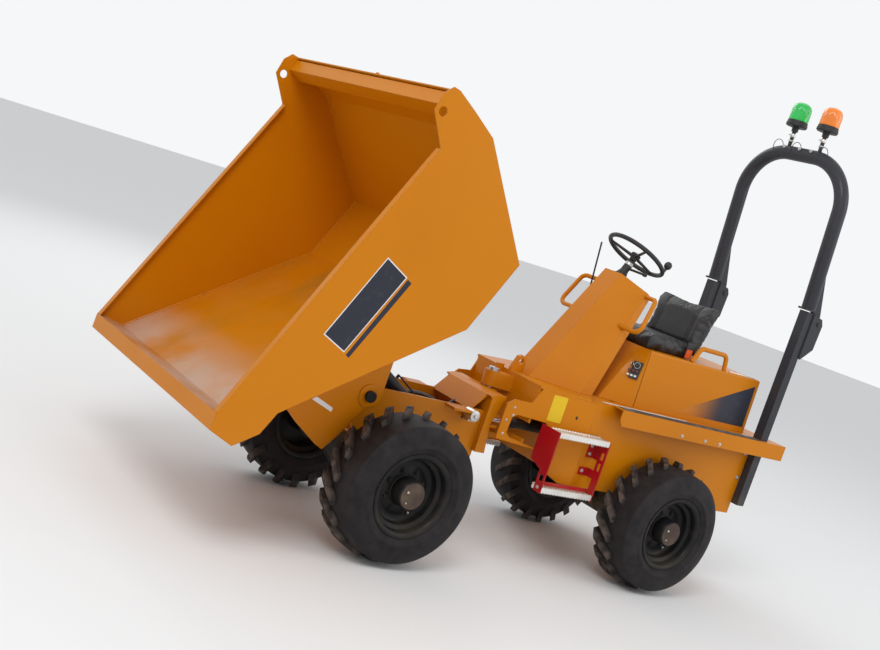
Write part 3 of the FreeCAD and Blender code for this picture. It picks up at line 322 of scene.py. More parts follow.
@dataclass(frozen=True)
class Metal:
    """Bare metal, brushed, punched or cast."""

    name: str
    colour: Rgb
    dull: Rgb
    roughness: float = 0.3
    grain: Point = EVEN
    grime: float = 0.4
    metallic: float = 1.0
    bump: float = 0.0003

    def build(self) -> bpy.types.Material:
        """Makes the material."""
        g = Graph.named(self.name)
        rounded, _ = g.soft_edge(0.002)
        lines = g.noise(60.0, 3.0, self.grain)
        dirt = g.noise(9.0, 5.0).ramp(0.45, 0.7) * self.grime
        tone = g.mix(dirt, self.colour, self.dull)
        rough = lines * 0.14 + dirt * 0.35 + self.roughness
        return g.finish(lines, self.bump, rounded, Base_Color=tone, Roughness=rough,
                        Metallic=self.metallic - dirt * 0.6)


@dataclass(frozen=True)
class Rubber:
    """Tyre rubber, dark on the wall and rubbed brown by the ground on the lugs."""

    name: str = "tyre_rubber"
    colour: Rgb = (0.013, 0.012, 0.014)
    worn: Rgb = (0.022, 0.020, 0.022)
    soil: Rgb = (0.150, 0.118, 0.098)

    def build(self) -> bpy.types.Material:
        """Makes the material."""
        g = Graph.named(self.name)
        rounded, _ = g.soft_edge(0.004)
        lug = g.attribute("lug")
        base = g.mix(g.noise(8.0, 6.0).ramp(0.35, 0.7), self.colour, self.worn)
        soil = (lug * 0.80 + 0.07) * g.noise(21.0, 6.0).ramp(0.26, 0.66)
        colour = g.mix(soil, base, self.soil)
        height = g.noise(140.0, 4.0) * 0.5 + g.noise(22.0, 3.0) * 0.6
        return g.finish(height, 0.0010, rounded, Base_Color=colour, Roughness=soil * 0.22 + 0.62,
                        Specular_IOR_Level=0.15)


@dataclass(frozen=True)
class Moulded:
    """Moulded plastic or rubber with a fine grain."""

    name: str
    colour: Rgb
    roughness: float = 0.5
    grain: float = 420.0
    bump: float = 0.0002
    dust: float = 0.12
    coat: float = 0.0
    dust_colour: Rgb = (0.40, 0.34, 0.27)

    def build(self) -> bpy.types.Material:
        """Makes the material."""
        g = Graph.named(self.name)
        rounded, _ = g.soft_edge(0.0015)
        film = g.axis("Z", "Normal").ramp(0.3, 1.0) * g.noise(14.0, 5.0).ramp(0.4, 0.7) * self.dust
        colour = g.mix(film, self.colour, self.dust_colour)
        return g.finish(g.cells(self.grain), self.bump, rounded, Base_Color=colour,
                        Roughness=film * 0.4 + g.noise(30.0) * 0.1 + self.roughness, Coat_Weight=self.coat)


@dataclass(frozen=True)
class Vinyl:
    """Black seat vinyl with a leather grain."""

    name: str = "seat_vinyl_cover"
    colour: Rgb = (0.022, 0.022, 0.024)
    worn: Rgb = (0.055, 0.052, 0.050)

    def build(self) -> bpy.types.Material:
        """Makes the material."""
        g = Graph.named(self.name)
        grain = g.cells(330.0) * 0.8 + g.cells(150.0, "SMOOTH_F1") * 0.5
        wear = g.noise(9.0, 5.0).ramp(0.45, 0.72)
        colour = g.mix(wear * 0.7, self.colour, self.worn)
        return g.finish(grain, 0.0006, Base_Color=colour, Roughness=wear * 0.16 + 0.42,
                        Specular_IOR_Level=0.4)


@dataclass(frozen=True)
class Lens:
    """Coloured moulded lens of a beacon, with a fluted inside."""

    name: str
    colour: Rgb
    deep: Rgb
    glow: float = 0.10

    def build(self) -> bpy.types.Material:
        """Makes the material."""
        g = Graph.named(self.name)
        cloud = g.noise(12.0, 3.0).ramp(0.3, 0.7)
        colour = g.mix(cloud * 0.6, self.colour, self.deep)
        return g.finish(g.noise(40.0, 2.0), 0.0004, Base_Color=colour, Roughness=cloud * 0.08 + 0.16,
                        Coat_Weight=0.6, Emission_Color=colour, Emission_Strength=self.glow)


@dataclass(frozen=True)
class Film:
    """Printed film laid on paint, plain or fading from one colour to another along X."""

    name: str
    colour: Rgb
    far: Optional[Rgb] = None
    start: float = 0.0
    end: float = 1.0

    def build(self) -> bpy.types.Material:
        """Makes the material."""
        g = Graph.named(self.name)
        scuff = g.noise(26.0, 6.0).ramp(0.52, 0.75)
        base: Union[Rgb, bpy.types.NodeSocket] = self.colour
        if self.far is not None:
            base = g.mix(g.axis("X").ramp(self.start, self.end), self.colour, self.far)
        pale = tuple(c * 0.8 + 0.05 for c in self.colour)
        colour = g.mix(scuff * 0.25, base, pale)
        return g.finish(g.noise(60.0, 2.0), 0.0002, Base_Color=colour, Roughness=scuff * 0.25 + 0.34,
                        Specular_IOR_Level=0.35)


YELLOW_COAT = (0.605, 0.198, 0.001)
YELLOW_FADED = (0.560, 0.176, 0.001)


class Finish(Enum):
    """Every finish on the machine."""

    YELLOW = Paint("yellow_enamel", YELLOW_COAT, YELLOW_FADED, dust=0.09)
    SCRAPED = Paint("yellow_enamel_scraped", YELLOW_COAT, YELLOW_FADED, dust=0.10, splash_top=0.7, scrape=0.6)
    CHARCOAL = Paint("charcoal_powder_coat", (0.036, 0.037, 0.044), (0.050, 0.050, 0.056), dust=0.14,
                     roughness=0.40, coat=0.15, splash_top=1.3)
    RED = Paint("red_enamel", (0.42, 0.005, 0.010), (0.32, 0.006, 0.012), dust=0.16)
    CHASSIS = Paint("chassis_black", (0.016, 0.016, 0.018), (0.030, 0.028, 0.027), dust=0.5, roughness=0.5,
                    coat=0.05)
    RIM = Paint("rim_black", (0.008, 0.008, 0.009), (0.014, 0.013, 0.014), dust=0.05, roughness=0.48,
                coat=0.08)
    HUB = Paint("hub_cap_grey", (0.062, 0.040, 0.033), (0.078, 0.053, 0.044), dust=0.2, roughness=0.5,
                coat=0.05)
    TYRE = Rubber()
    BRIGHT = Metal("ground_steel", (0.60, 0.60, 0.61), (0.16, 0.14, 0.12), roughness=0.16, grime=0.25)
    ZINC = Metal("zinc_fixings", (0.62, 0.61, 0.58), (0.24, 0.21, 0.17), roughness=0.30, grime=0.35)
    GRIP = Metal("punched_aluminium", (0.82, 0.80, 0.76), (0.40, 0.34, 0.27), roughness=0.36, grime=0.4,
                 metallic=0.8)
    IRON = Metal("cast_iron_block", (0.10, 0.10, 0.105), (0.07, 0.06, 0.05), roughness=0.55, metallic=0.6)
    BLACK = Moulded("black_moulding", (0.016, 0.016, 0.017))
    DARK_GRIP = Moulded("deck_grip_strip", (0.050, 0.048, 0.046), roughness=0.8, grain=260.0, bump=0.0009,
                        dust=0.45)
    HOSE = Moulded("hose_rubber", (0.018, 0.018, 0.019), roughness=0.42, dust=0.25)
    WEB = Moulded("belt_webbing", (0.62, 0.085, 0.010), roughness=0.75, grain=700.0, bump=0.0004)
    RED_BUTTON = Moulded("red_moulding", (0.50, 0.012, 0.010), roughness=0.35)
    VINYL = Vinyl()
    GREEN = Lens("green_lens", (0.004, 0.56, 0.085), (0.002, 0.36, 0.05))
    AMBER = Lens("amber_lens", (0.90, 0.235, 0.004), (0.68, 0.145, 0.003))
    DARK_FILM = Film("dark_band_film", (0.020, 0.022, 0.036))
    FADE_FILM = Film("fading_band_film", (0.024, 0.026, 0.042), YELLOW_COAT, -1.50, -1.17)
    WHITE_LABEL = Film("blank_white_label", (0.78, 0.78, 0.77))
    YELLOW_LABEL = Film("blank_yellow_label", (0.80, 0.52, 0.010))


class Wardrobe:
    """Builds each finish once and hands out its material."""

    _made: dict[Finish, bpy.types.Material] = {}

    @classmethod
    def of(cls, finish: Finish) -> bpy.types.Material:
        """The material of a finish."""
        if finish not in cls._made:
            cls._made[finish] = finish.value.build()
        return cls._made[finish]


SLOT_FINISH: dict[str, Finish] = {
    "yellow_paint": Finish.YELLOW, "charcoal_paint": Finish.CHARCOAL, "red_paint": Finish.RED,
    "chassis_black": Finish.CHASSIS, "rim_black": Finish.RIM, "tyre": Finish.TYRE,
    "bright_steel": Finish.BRIGHT, "engine_iron": Finish.IRON, "black_plastic": Finish.BLACK,
    "seat_vinyl": Finish.VINYL, "grip_aluminium": Finish.GRIP, "green_lens": Finish.GREEN,
    "amber_lens": Finish.AMBER,
}
FINISH_SLOT: dict[Finish, str] = {finish: slot for slot, finish in SLOT_FINISH.items()}
FINISH_SLOT.update({
    Finish.SCRAPED: "yellow_paint", Finish.HUB: "rim_black", Finish.ZINC: "bright_steel",
    Finish.HOSE: "black_plastic", Finish.DARK_GRIP: "black_plastic", Finish.WEB: "red_paint",
    Finish.RED_BUTTON: "red_paint", Finish.DARK_FILM: "charcoal_paint", Finish.FADE_FILM: "charcoal_paint",
    Finish.WHITE_LABEL: "grip_aluminium", Finish.YELLOW_LABEL: "yellow_paint",
})


def vertices_in(geometry: Iterable) -> list[bmesh.types.BMVert]:
    """The vertices among the results of a mesh operator."""
    return [item for item in geometry if isinstance(item, bmesh.types.BMVert)]


class Shape:
    """A mesh under construction, shaped by mesh operators."""

    def __init__(self) -> None:
        """Starts an empty mesh."""
        self.bm = bmesh.new()

    def round_off(self, geometry: Iterable, offset: float, segments: int = 2, affect: str = "EDGES") -> dict:
        """Rounds edges or corners."""
        return bmesh.ops.bevel(self.bm, geom=list(geometry), offset=offset, offset_type="OFFSET",
                               segments=segments, profile=0.5, affect=affect, material=-1, clamp_overlap=True)

    def _bevel(self, made: Sequence[bmesh.types.BMVert], edges: Iterable[bmesh.types.BMEdge], offset: float,
               segments: int) -> list[bmesh.types.BMVert]:
        """Rounds edges of a fresh, separate solid and returns all its vertices."""
        result = self.round_off(edges, offset, segments)
        return [v for v in {*made, *result["verts"]} if v.is_valid]

    def box(self, low: Spot, high: Spot, bevel: float = 0.0, segments: int = 2) -> list[bmesh.types.BMVert]:
        """Adds a box between two corners, with rounded edges.

        Args:
            low: the corner with the least coordinates.
            high: the opposite corner.
            bevel: the edges' radius.
            segments: how many faces round an edge takes.

        Returns:
            The new vertices.
        """
        size = Vector(high) - Vector(low)
        centre = (Vector(high) + Vector(low)) / 2
        matrix = Matrix.Translation(centre) @ Matrix.Diagonal((*size, 1.0))
        made = bmesh.ops.create_cube(self.bm, size=1.0, matrix=matrix)["verts"]
        if bevel <= 0:
            return made
        return self._bevel(made, {e for v in made for e in v.link_edges}, bevel, segments)

    def rod(self, start: Spot, end: Spot, radius: float, sides: int = 24, top: Optional[float] = None,
            bevel: float = 0.0) -> list[bmesh.types.BMVert]:
        """Adds a round, hexagonal or tapered bar between two points.

        Args:
            start: centre of the first end.
            end: centre of the second end.
            radius: radius at the start.
            sides: faces round the bar.
            top: radius at the end, the same if left out.
            bevel: radius of the end edges.

        Returns:
            The new vertices.
        """
        a, b = Vector(start), Vector(end)
        along = b - a
        turn = along.to_track_quat("Z", "Y").to_matrix().to_4x4()
        matrix = Matrix.Translation((a + b) / 2) @ turn
        made = bmesh.ops.create_cone(self.bm, cap_ends=True, segments=sides, radius1=radius,
                                     radius2=radius if top is None else top, depth=along.length,
                                     matrix=matrix)["verts"]
        if bevel <= 0:
            return made
        axis = along.normalized()
        rims = {e for v in made for e in v.link_edges
                if abs((e.verts[0].co - e.verts[1].co).normalized().dot(axis)) < 0.1}
        return self._bevel(made, rims, bevel, 2)

    def lathe(self, outline: Iterable[Pair], centre: Spot, axis: Spot,
              steps: int = 64) -> None:
        """Spins an outline about an axis.

        Args:
            outline: points as (distance from the axis, height along it), first to last.
            centre: the point at height 0.
            axis: direction of the axis.
            steps: faces round it.
        """
        along = Vector(axis).normalized()
        out = along.orthogonal().normalized()
        line = [self.bm.verts.new(Vector(centre) + out * r + along * h) for r, h in outline]
        edges = [self.bm.edges.new(pair) for pair in zip(line, line[1:])]
        bmesh.ops.spin(self.bm, geom=line + edges, cent=Vector(centre), axis=along, angle=math.tau,
                       steps=steps, use_merge=True, use_duplicate=False)

    def ring(self, centre: Spot, axis: Spot, radius: float, thick: float, steps: int = 48,
             sides: int = 12) -> None:
        """Adds a round ring of round section."""
        outline = [(radius + thick * math.cos(math.tau * i / sides), thick * math.sin(math.tau * i / sides))
                   for i in range(sides + 1)]
        self.lathe(outline, centre, axis, steps)

    def bolt(self, at: Spot, axis: Spot, radius: float = 0.008, washer: bool = True) -> None:
        """Adds a hexagon head on a washer, seated at a point and facing along an axis."""
        foot, along = Vector(at), Vector(axis).normalized()
        if washer:
            self.rod(foot - along * 0.0004, foot + along * radius * 0.22, radius * 1.35, 20)
        self.rod(foot, foot + along * radius * 0.85, radius, 6, bevel=radius * 0.12)
        self.rod(foot + along * radius * 0.8, foot + along * radius * 1.15, radius * 0.5, 12)

    def bolts(self, places: Iterable[Spot], axis: Spot, radius: float = 0.008) -> None:
        """Adds alike bolts at several places."""
        for at in places:
            self.bolt(at, axis, radius)

    def panel(self, corners: Sequence[Spot], lift: Spot, corner_radius: float = 0.0) -> None:
        """Adds a thin flat panel.

        Args:
            corners: its corners in order.
            lift: the way and distance by which it is thickened.
            corner_radius: radius of its corners.
        """
        verts = [self.bm.verts.new(c) for c in corners]
        face = self.bm.faces.new(verts)
        if corner_radius > 0:
            rounded = self.round_off(verts, corner_radius, 4, "VERTICES")
            face = max({f for v in rounded["verts"] for f in v.link_faces}, key=lambda f: f.calc_area())
        grown = bmesh.ops.extrude_face_region(self.bm, geom=[face])["geom"]
        bmesh.ops.translate(self.bm, verts=vertices_in(grown), vec=Vector(lift))

    def bead(self, points: Sequence[Spot], radius: float, sides: int = 8) -> None:
        """Adds a weld bead or a bent bar along straight runs."""
        for start, end in zip(points, points[1:]):
            self.rod(start, end, radius, sides)

    def hose(self, points: Sequence[Spot], radius: float) -> None:
        """Adds a smooth round hose along control points."""
        curve = bpy.data.curves.new("route", "CURVE")
        curve.dimensions = "3D"
        curve.bevel_depth, curve.bevel_resolution, curve.resolution_u = radius, 3, 6
        curve.use_fill_caps = True
        spline = curve.splines.new("NURBS")
        spline.points.add(len(points) - 1)
        for point, at in zip(spline.points, points):
            point.co = (*at, 1.0)
        spline.order_u, spline.use_endpoint_u = 3, True
        holder = bpy.data.objects.new("route", curve)
        mesh = bpy.data.meshes.new_from_object(holder)
        self.bm.from_mesh(mesh)
        bpy.data.objects.remove(holder)
        bpy.data.meshes.remove(mesh)

    def turn(self, matrix: Matrix) -> None:
        """Moves and turns all that has been made so far."""
        bmesh.ops.transform(self.bm, matrix=matrix, verts=self.bm.verts[:])

    def mirror_y(self) -> None:
        """Adds the mirror image across the machine's middle plane."""
        geom = self.bm.verts[:] + self.bm.edges[:] + self.bm.faces[:]
        copy = bmesh.ops.duplicate(self.bm, geom=geom)["geom"]
        bmesh.ops.scale(self.bm, verts=vertices_in(copy), vec=(1.0, -1.0, 1.0))

    def shade_smooth(self, angle: float) -> None:
        """Smooths faces and marks edges sharper than an angle in degrees."""
        limit = math.radians(angle)
        for face in self.bm.faces:
            face.smooth = True
        for edge in self.bm.edges:
            edge.smooth = len(edge.link_faces) == 2 and edge.calc_face_angle(0.0) < limit

    def mesh(self, name: str, smooth: float = CRISP) -> bpy.types.Mesh:
        """Cleans the mesh and writes it out; edges sharper than the angle stay crisp."""
        bmesh.ops.remove_doubles(self.bm, verts=self.bm.verts[:], dist=MERGE)
        bmesh.ops.recalc_face_normals(self.bm, faces=self.bm.faces[:])
        self.shade_smooth(smooth)
        mesh = bpy.data.meshes.new(name)
        self.bm.to_mesh(mesh)
        self.bm.free()
        return mesh

    def piece(self, name: str, finish: Finish, body: str, replaces: Sequence[str] = (),
              smooth: float = CRISP) -> bpy.types.Object:
        """Turns the mesh into a finished piece of the machine.

        Args:
            name: the piece's name.
            finish: what it is made of.
            body: the body that it moves with.
            replaces: the frame's nodes that it stands for.
            smooth: edges sharper than this many degrees stay crisp.

        Returns:
            The object.
        """
        return dress(bpy.data.objects.new(name, self.mesh(name, smooth)), finish, body, replaces)


def link(obj: bpy.types.Object) -> bpy.types.Object:
    """Puts an object into the scene, if it isn't there yet."""
    if obj.name not in bpy.context.scene.collection.objects:
        bpy.context.scene.collection.objects.link(obj)
    return obj


def dress(obj: bpy.types.Object, finish: Finish, body: str, replaces: Sequence[str] = ()) -> bpy.types.Object:
    """Links an object, gives it its finish and lets it ride on its body."""
    link(obj)
    obj.data.materials.clear()
    obj.data.materials.append(Wardrobe.of(finish))
    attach(obj, body)
    if replaces:
        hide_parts(*replaces)
    log.info("piece %s on %s", obj.name, body)
    return obj


@dataclass
class Bodywork:
    """Gives every node of the frame the finish of its material slot, or a more worn one."""

    worn: ClassVar[dict[str, Finish]] = {"skip": Finish.SCRAPED, "tip_pin": Finish.CHASSIS}

    def dress(self) -> None:
        """Puts a finish on each node."""
        slots = {part["node"]: part["material_slot"] for part in frame["record"]["subparts"]}
        for name, obj in frame["nodes"].items():
            obj.data.materials.clear()
            obj.data.materials.append(Wardrobe.of(self.worn.get(name, SLOT_FINISH[slots[name]])))


@dataclass
class Wheel:
    """A wide field tyre with chevron lugs on a deep-dish rim."""

    end: str
    side: Side
    rolling_radius: float = 0.380
    carcass_radius: float = 0.353
    half_width: float = 0.132
    flange_radius: float = 0.2125
    seat_radius: float = 0.194
    rim_half: float = 0.112
    disc_offset: float = 0.010
    hub_radius: float = 0.074
    hub_face: float = 0.112
    cap_radius: float = 0.066
    crown_drop: float = 0.012
    lugs: int = 20
    lug_line: ClassVar[Line] = ((-0.006, 0.052), (0.046, 0.0083), (0.132, -0.052))
    lug_top: float = 0.0165
    lug_foot: float = 0.0215
    lug_bevel: float = 0.0028
    nut_circle: float = 0.103
    nuts: int = 8
    steps: int = 96
    moulds: ClassVar[dict[str, bpy.types.Mesh]] = {}

    @property
    def body(self) -> str:
        """The wheel's body."""
        return f"wheel_{self.end}_{self.side.word}"

    @property
    def centre(self) -> Vector:
        """The middle of the wheel."""
        low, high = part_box(f"tyre_{self.end}_{self.side.word}")
        return (low + high) / 2

    def _cast(self, part: str, model: Callable[[], Shape], smooth: float) -> Shape:
        """A part of the wheel, modelled once for all four and put in its place.

        Args:
            part: the part's name.
            model: models the part about the Y axis with its outside towards +Y.
            smooth: edges sharper than this many degrees stay crisp.

        Returns:
            The shape in its place.
        """
        if part not in self.moulds:
            self.moulds[part] = model().mesh(f"mould_{part}", smooth)
        shape = Shape()
        shape.bm.from_mesh(self.moulds[part])
        if self.side is Side.RIGHT:
            bmesh.ops.scale(shape.bm, verts=shape.bm.verts[:], vec=(1.0, -1.0, 1.0))
        bmesh.ops.translate(shape.bm, verts=shape.bm.verts[:], vec=self.centre)
        return shape

    def _crown(self, y: float) -> float:
        """Radius of the carcass under the tread at a distance from the middle."""
        return self.carcass_radius - self.crown_drop * (y / self.half_width) ** 2

    def _sweep(self, y: float) -> float:
        """How far a lug's middle line runs ahead of its pitch mark at a distance from the middle."""
        inner, knee, outer = self.lug_line
        start, end = (inner, knee) if y < knee[0] else (knee, outer)
        return start[1] + (end[1] - start[1]) * (y - start[0]) / (end[0] - start[0])

    def _lug(self, shape: Shape, hand: int) -> list[bmesh.types.BMVert]:
        """One lug from the middle of the tread to its shoulder, on one hand of it."""
        inner, outer, base = self.lug_line[0][0], self.half_width - SEATED, self.carcass_radius - 0.014
        before = set(shape.bm.verts)
        cube = bmesh.ops.create_cube(shape.bm, size=1.0)["verts"]
        long_edges = [e for e in {e for v in cube for e in v.link_edges}
                      if abs(e.verts[0].co.y - e.verts[1].co.y) > 0.5]
        bmesh.ops.subdivide_edges(shape.bm, edges=long_edges, cuts=6, use_grid_fill=True)
        for vert in [v for v in shape.bm.verts if v not in before]:
            share, top, side = vert.co.y + 0.5, vert.co.z > 0, vert.co.x
            y = inner + (outer - inner) * share
            half = self.lug_top + 0.0035 * share if top else self.lug_foot + 0.004 * share
            radius = self.rolling_radius - 0.006 * max(0.0, (y - 0.07) / 0.06) ** 2 if top else base
            ahead = self._sweep(y) + side * 2 * half
            if share > 0.95 and top:
                y, radius = outer - 0.006, self.rolling_radius - 0.013
            elif share > 0.95:
                y, radius = outer - 0.0012, base - 0.050
            vert.co = (ahead, y * hand, radius)
        made = [v for v in shape.bm.verts if v not in before]
        edges = [e for e in {e for v in made for e in v.link_edges}
                 if all(v.co.z > self.carcass_radius - 0.004 for v in e.verts)]
        shape.round_off(edges, self.lug_bevel)
        made = [v for v in shape.bm.verts if v not in before]
        for vert in made:
            angle, radius = vert.co.x / self.carcass_radius, vert.co.z
            vert.co = (math.sin(angle) * radius, vert.co.y, math.cos(angle) * radius)
        return made

    def _tyre(self) -> Shape:
        """Models the tyre."""
        shape = Shape()
        for hand in (1, -1):
            first = self._lug(shape, hand)
            geom = list({g for v in first for g in (v, *v.link_edges, *v.link_faces)})
            half_step = math.pi / self.lugs if hand < 0 else 0.0
            bmesh.ops.rotate(shape.bm, verts=first, cent=ORIGIN, matrix=Matrix.Rotation(half_step, 3, "Y"))
            for number in range(1, self.lugs):
                copy = bmesh.ops.duplicate(shape.bm, geom=geom)["geom"]
                turn = Matrix.Rotation(math.tau * number / self.lugs, 3, "Y")
                bmesh.ops.rotate(shape.bm, verts=vertices_in(copy), cent=ORIGIN, matrix=turn)
        tread = [(self._crown(y), y) for y in (0.0, 0.035, 0.07, 0.095, 0.106)]
        wall = [(0.336, 0.1125), (0.322, 0.1180), (0.306, 0.1230), (0.290, 0.1265), (0.276, 0.1285),
                (0.262, 0.1290), (0.257, 0.1320), (0.246, 0.1320), (0.241, 0.1275), (0.228, 0.1210),
                (0.2185, 0.1160), (0.2160, 0.1120), (0.1945, 0.1110)]
        half = tread + wall
        shape.lathe([(r, -y) for r, y in half[::-1]] + half[1:], ORIGIN, ALONG_Y, self.steps)
        return shape

    def _rim(self) -> Shape:
        """Models the rim with its lip, well and dish."""
        shape = Shape()
        seat, flange, half, dish = self.seat_radius, self.flange_radius, self.rim_half, self.disc_offset
        outer = [(flange - 0.006, half + 0.005), (seat + 0.008, half + 0.005), (seat - 0.004, half + 0.001),
                 (seat - 0.010, half - 0.012), (seat - 0.012, half - 0.040), (seat - 0.030, half - 0.052),
                 (seat - 0.032, dish + 0.020), (seat - 0.040, dish + 0.012), (seat - 0.060, dish + 0.010),
                 (self.nut_circle + 0.022, dish + 0.010), (self.nut_circle + 0.014, dish + 0.016),
                 (self.hub_radius + 0.004, dish + 0.016)]
        inner = [(self.hub_radius + 0.004, dish + 0.002), (seat - 0.036, dish + 0.002),
                 (seat - 0.034, -half + 0.050), (seat - 0.012, -half + 0.036), (seat - 0.012, -half + 0.010),
                 (seat - 0.004, -half - 0.001), (seat + 0.008, -half - 0.005),
                 (flange - 0.006, -half - 0.005),
                 (flange, -half - 0.001), (flange - 0.004, -half + 0.0005)]
        lip = [(flange - 0.007, half + 0.001), (flange - 0.003, half - 0.001), (flange, half + 0.001),
               (flange - 0.001, half + 0.004), (flange - 0.006, half + 0.005)]
        for outline in (outer, inner, lip):
            shape.lathe(outline, ORIGIN, ALONG_Y, self.steps)
        return shape

    def _hub(self) -> Shape:
        """Models the hub's drum with the wheel nuts."""
        hub = Shape()
        radius, face, dish = self.hub_radius, self.hub_face, self.disc_offset
        hub.lathe([(radius + 0.006, dish - 0.13), (radius + 0.006, dish + 0.018), (radius, dish + 0.022),
                   (radius, face - 0.008), (radius - 0.005, face - 0.002), (self.cap_radius, face - 0.002),
                   (0.0, face - 0.002)], ORIGIN, ALONG_Y)
        for number in range(self.nuts):
            angle = math.tau * (number + 0.5) / self.nuts
            at = (math.cos(angle) * self.nut_circle, dish + 0.016, math.sin(angle) * self.nut_circle)
            hub.bolt(at, ALONG_Y, 0.012)
        hub.rod((0.150, dish + 0.010, 0.0), (0.158, dish + 0.045, 0.0), 0.005, 12)
        return hub

    def _cap(self) -> Shape:
        """Models the flat cap on the hub."""
        cap = Shape()
        face = self.hub_face
        cap.lathe([(self.cap_radius, face - 0.003), (self.cap_radius, face - 0.001),
                   (self.cap_radius - 0.0015, face), (0.022, face), (0.020, face - 0.0012),
                   (0.0, face - 0.0012)], ORIGIN, ALONG_Y)
        return cap

    def _plugs(self) -> Shape:
        """Models the bright plugs of the hub."""
        plugs = Shape()
        plugs.bolt((0.036, self.hub_face, 0.018), ALONG_Y, 0.007, washer=False)
        plugs.bolt((-0.066, self.disc_offset + 0.016, -0.108), ALONG_Y, 0.007, washer=False)
        plugs.bolt((0.028, self.hub_face, -0.036), ALONG_Y, 0.0045, washer=False)
        return plugs

    def build(self) -> None:
        """Puts the wheel's parts in their places."""
        node, body = f"{self.end}_{self.side.word}", self.body
        tyre = self._cast("tyre", self._tyre, 40.0).piece(f"lugged_{body}", Finish.TYRE, body,
                                                          [f"tyre_{node}"], 40.0)
        middle = self.centre
        layer = tyre.data.attributes.new("lug", "FLOAT", "POINT")
        for vert, item in zip(tyre.data.vertices, layer.data):
            reach = math.hypot(vert.co.x - middle.x, vert.co.z - middle.z)
            item.value = max(0.0, min(1.0, (reach - self.carcass_radius) / 0.022))
        for part, model, name, finish, nodes, crisp in (
                ("rim", self._rim, "dished", Finish.RIM, [f"rim_{node}"], 50.0),
                ("hub", self._hub, "hub", Finish.RIM, (), 40.0),
                ("cap", self._cap, "hub_cap", Finish.HUB, (), 30.0),
                ("plugs", self._plugs, "hub_plugs", Finish.ZINC, (), 30.0)):
            self._cast(part, model, crisp).piece(f"{name}_{body}", finish, body, nodes, crisp)


@dataclass
class HandWheel:
    """Three-spoke steering wheel with a spinner knob."""

    centre: Point = (-0.680, 0.0, 1.790)
    tilt: float = -25.0
    radius: float = 0.180
    tube: float = 0.013
    hub: float = 0.030
    hub_back: float = 0.040
    hub_front: float = 0.004
    shaft: float = 0.010
    shaft_span: Pair = (-0.100, -0.030)
    spokes: Sequence[int] = (60, 180, 300)
    spoke_root: float = 0.010
    spoke_tip: float = 0.007
    knob: float = 0.023
    knob_stem: float = 0.009
    knob_at: float = 0.1273

    def build(self) -> None:
        """Models the wheel, its knob and the end of its shaft."""
        shape = Shape()
        shape.ring(ORIGIN, UP, self.radius, self.tube, 72, 14)
        shape.lathe([(0.0, -self.hub_back), (0.020, -self.hub_back), (0.022, -0.024), (self.hub, -0.012),
                     (self.hub, 0.000), (self.hub - 0.005, self.hub_front), (0.0, self.hub_front)],
                    ORIGIN, UP, 40)
        for spoke in self.spokes:
            angle = math.radians(spoke)
            way = Vector((math.cos(angle), math.sin(angle), 0.0))
            shape.rod(UP * -0.016, way * (self.radius - 0.002), self.spoke_root, 16, self.spoke_tip)
        at = Vector((-self.knob_at, self.knob_at, 0.0))
        shape.rod(at + UP * 0.004, at + UP * 0.044, self.knob_stem, 16)
        shape.lathe([(0.0, 0.037), (0.012, 0.038), (0.020, 0.046), (self.knob, 0.060), (0.019, 0.073),
                     (0.010, 0.081), (0.0, 0.083)], at, UP, 32)
        low, high = self.shaft_span
        shape.rod(UP * low, UP * high, self.shaft, 20)
        shape.turn(Matrix.Translation(self.centre) @ Matrix.Rotation(math.radians(self.tilt), 4, "Y"))
        shape.piece("rimmed_steering_wheel", Finish.BLACK, Body.HAND_WHEEL.value, ["steering_wheel"], 50.0)


@dataclass
class ColumnTrim:
    """Bolts of the column's flange, its collar and the stalk's knob."""

    foot: Point = (-0.6098, 0.0, 1.6395)
    axis: Point = (-0.4226, 0.0, 0.9063)
    flange: float = 0.010
    bolt_circle: float = 0.039
    bolt: float = 0.0045
    collar: Pair = (0.085, 0.105)
    collar_radius: float = 0.0252
    stalk_rise: float = 0.070
    stalk_reach: Point = (-0.0198, 0.147, -0.004)
    knob: float = 0.011
    knob_length: Pair = (0.020, 0.003)

    def build(self) -> None:
        """Models the trim."""
        foot, axis = Vector(self.foot), Vector(self.axis).normalized()
        across = Vector((axis.z, 0.0, -axis.x))
        bolts = Shape()
        for quarter in range(4):
            turn = Matrix.Rotation(math.radians(45 + 90 * quarter), 4, axis)
            bolts.bolt(foot + axis * self.flange + turn @ (across * self.bolt_circle), axis, self.bolt)
        start, end = self.collar
        bolts.rod(foot + axis * start, foot + axis * end, self.collar_radius, 32, bevel=0.001)
        bolts.piece("column_fixings", Finish.ZINC, Body.REAR.value)
        knob = Shape()
        tip = foot + axis * self.stalk_rise + Vector(self.stalk_reach)
        inside, outside = self.knob_length
        knob.rod(tip - ALONG_Y * inside, tip + ALONG_Y * outside, self.knob, 20, bevel=0.004)
        knob.piece("stalk_knob", Finish.BLACK, Body.REAR.value, (), 60.0)


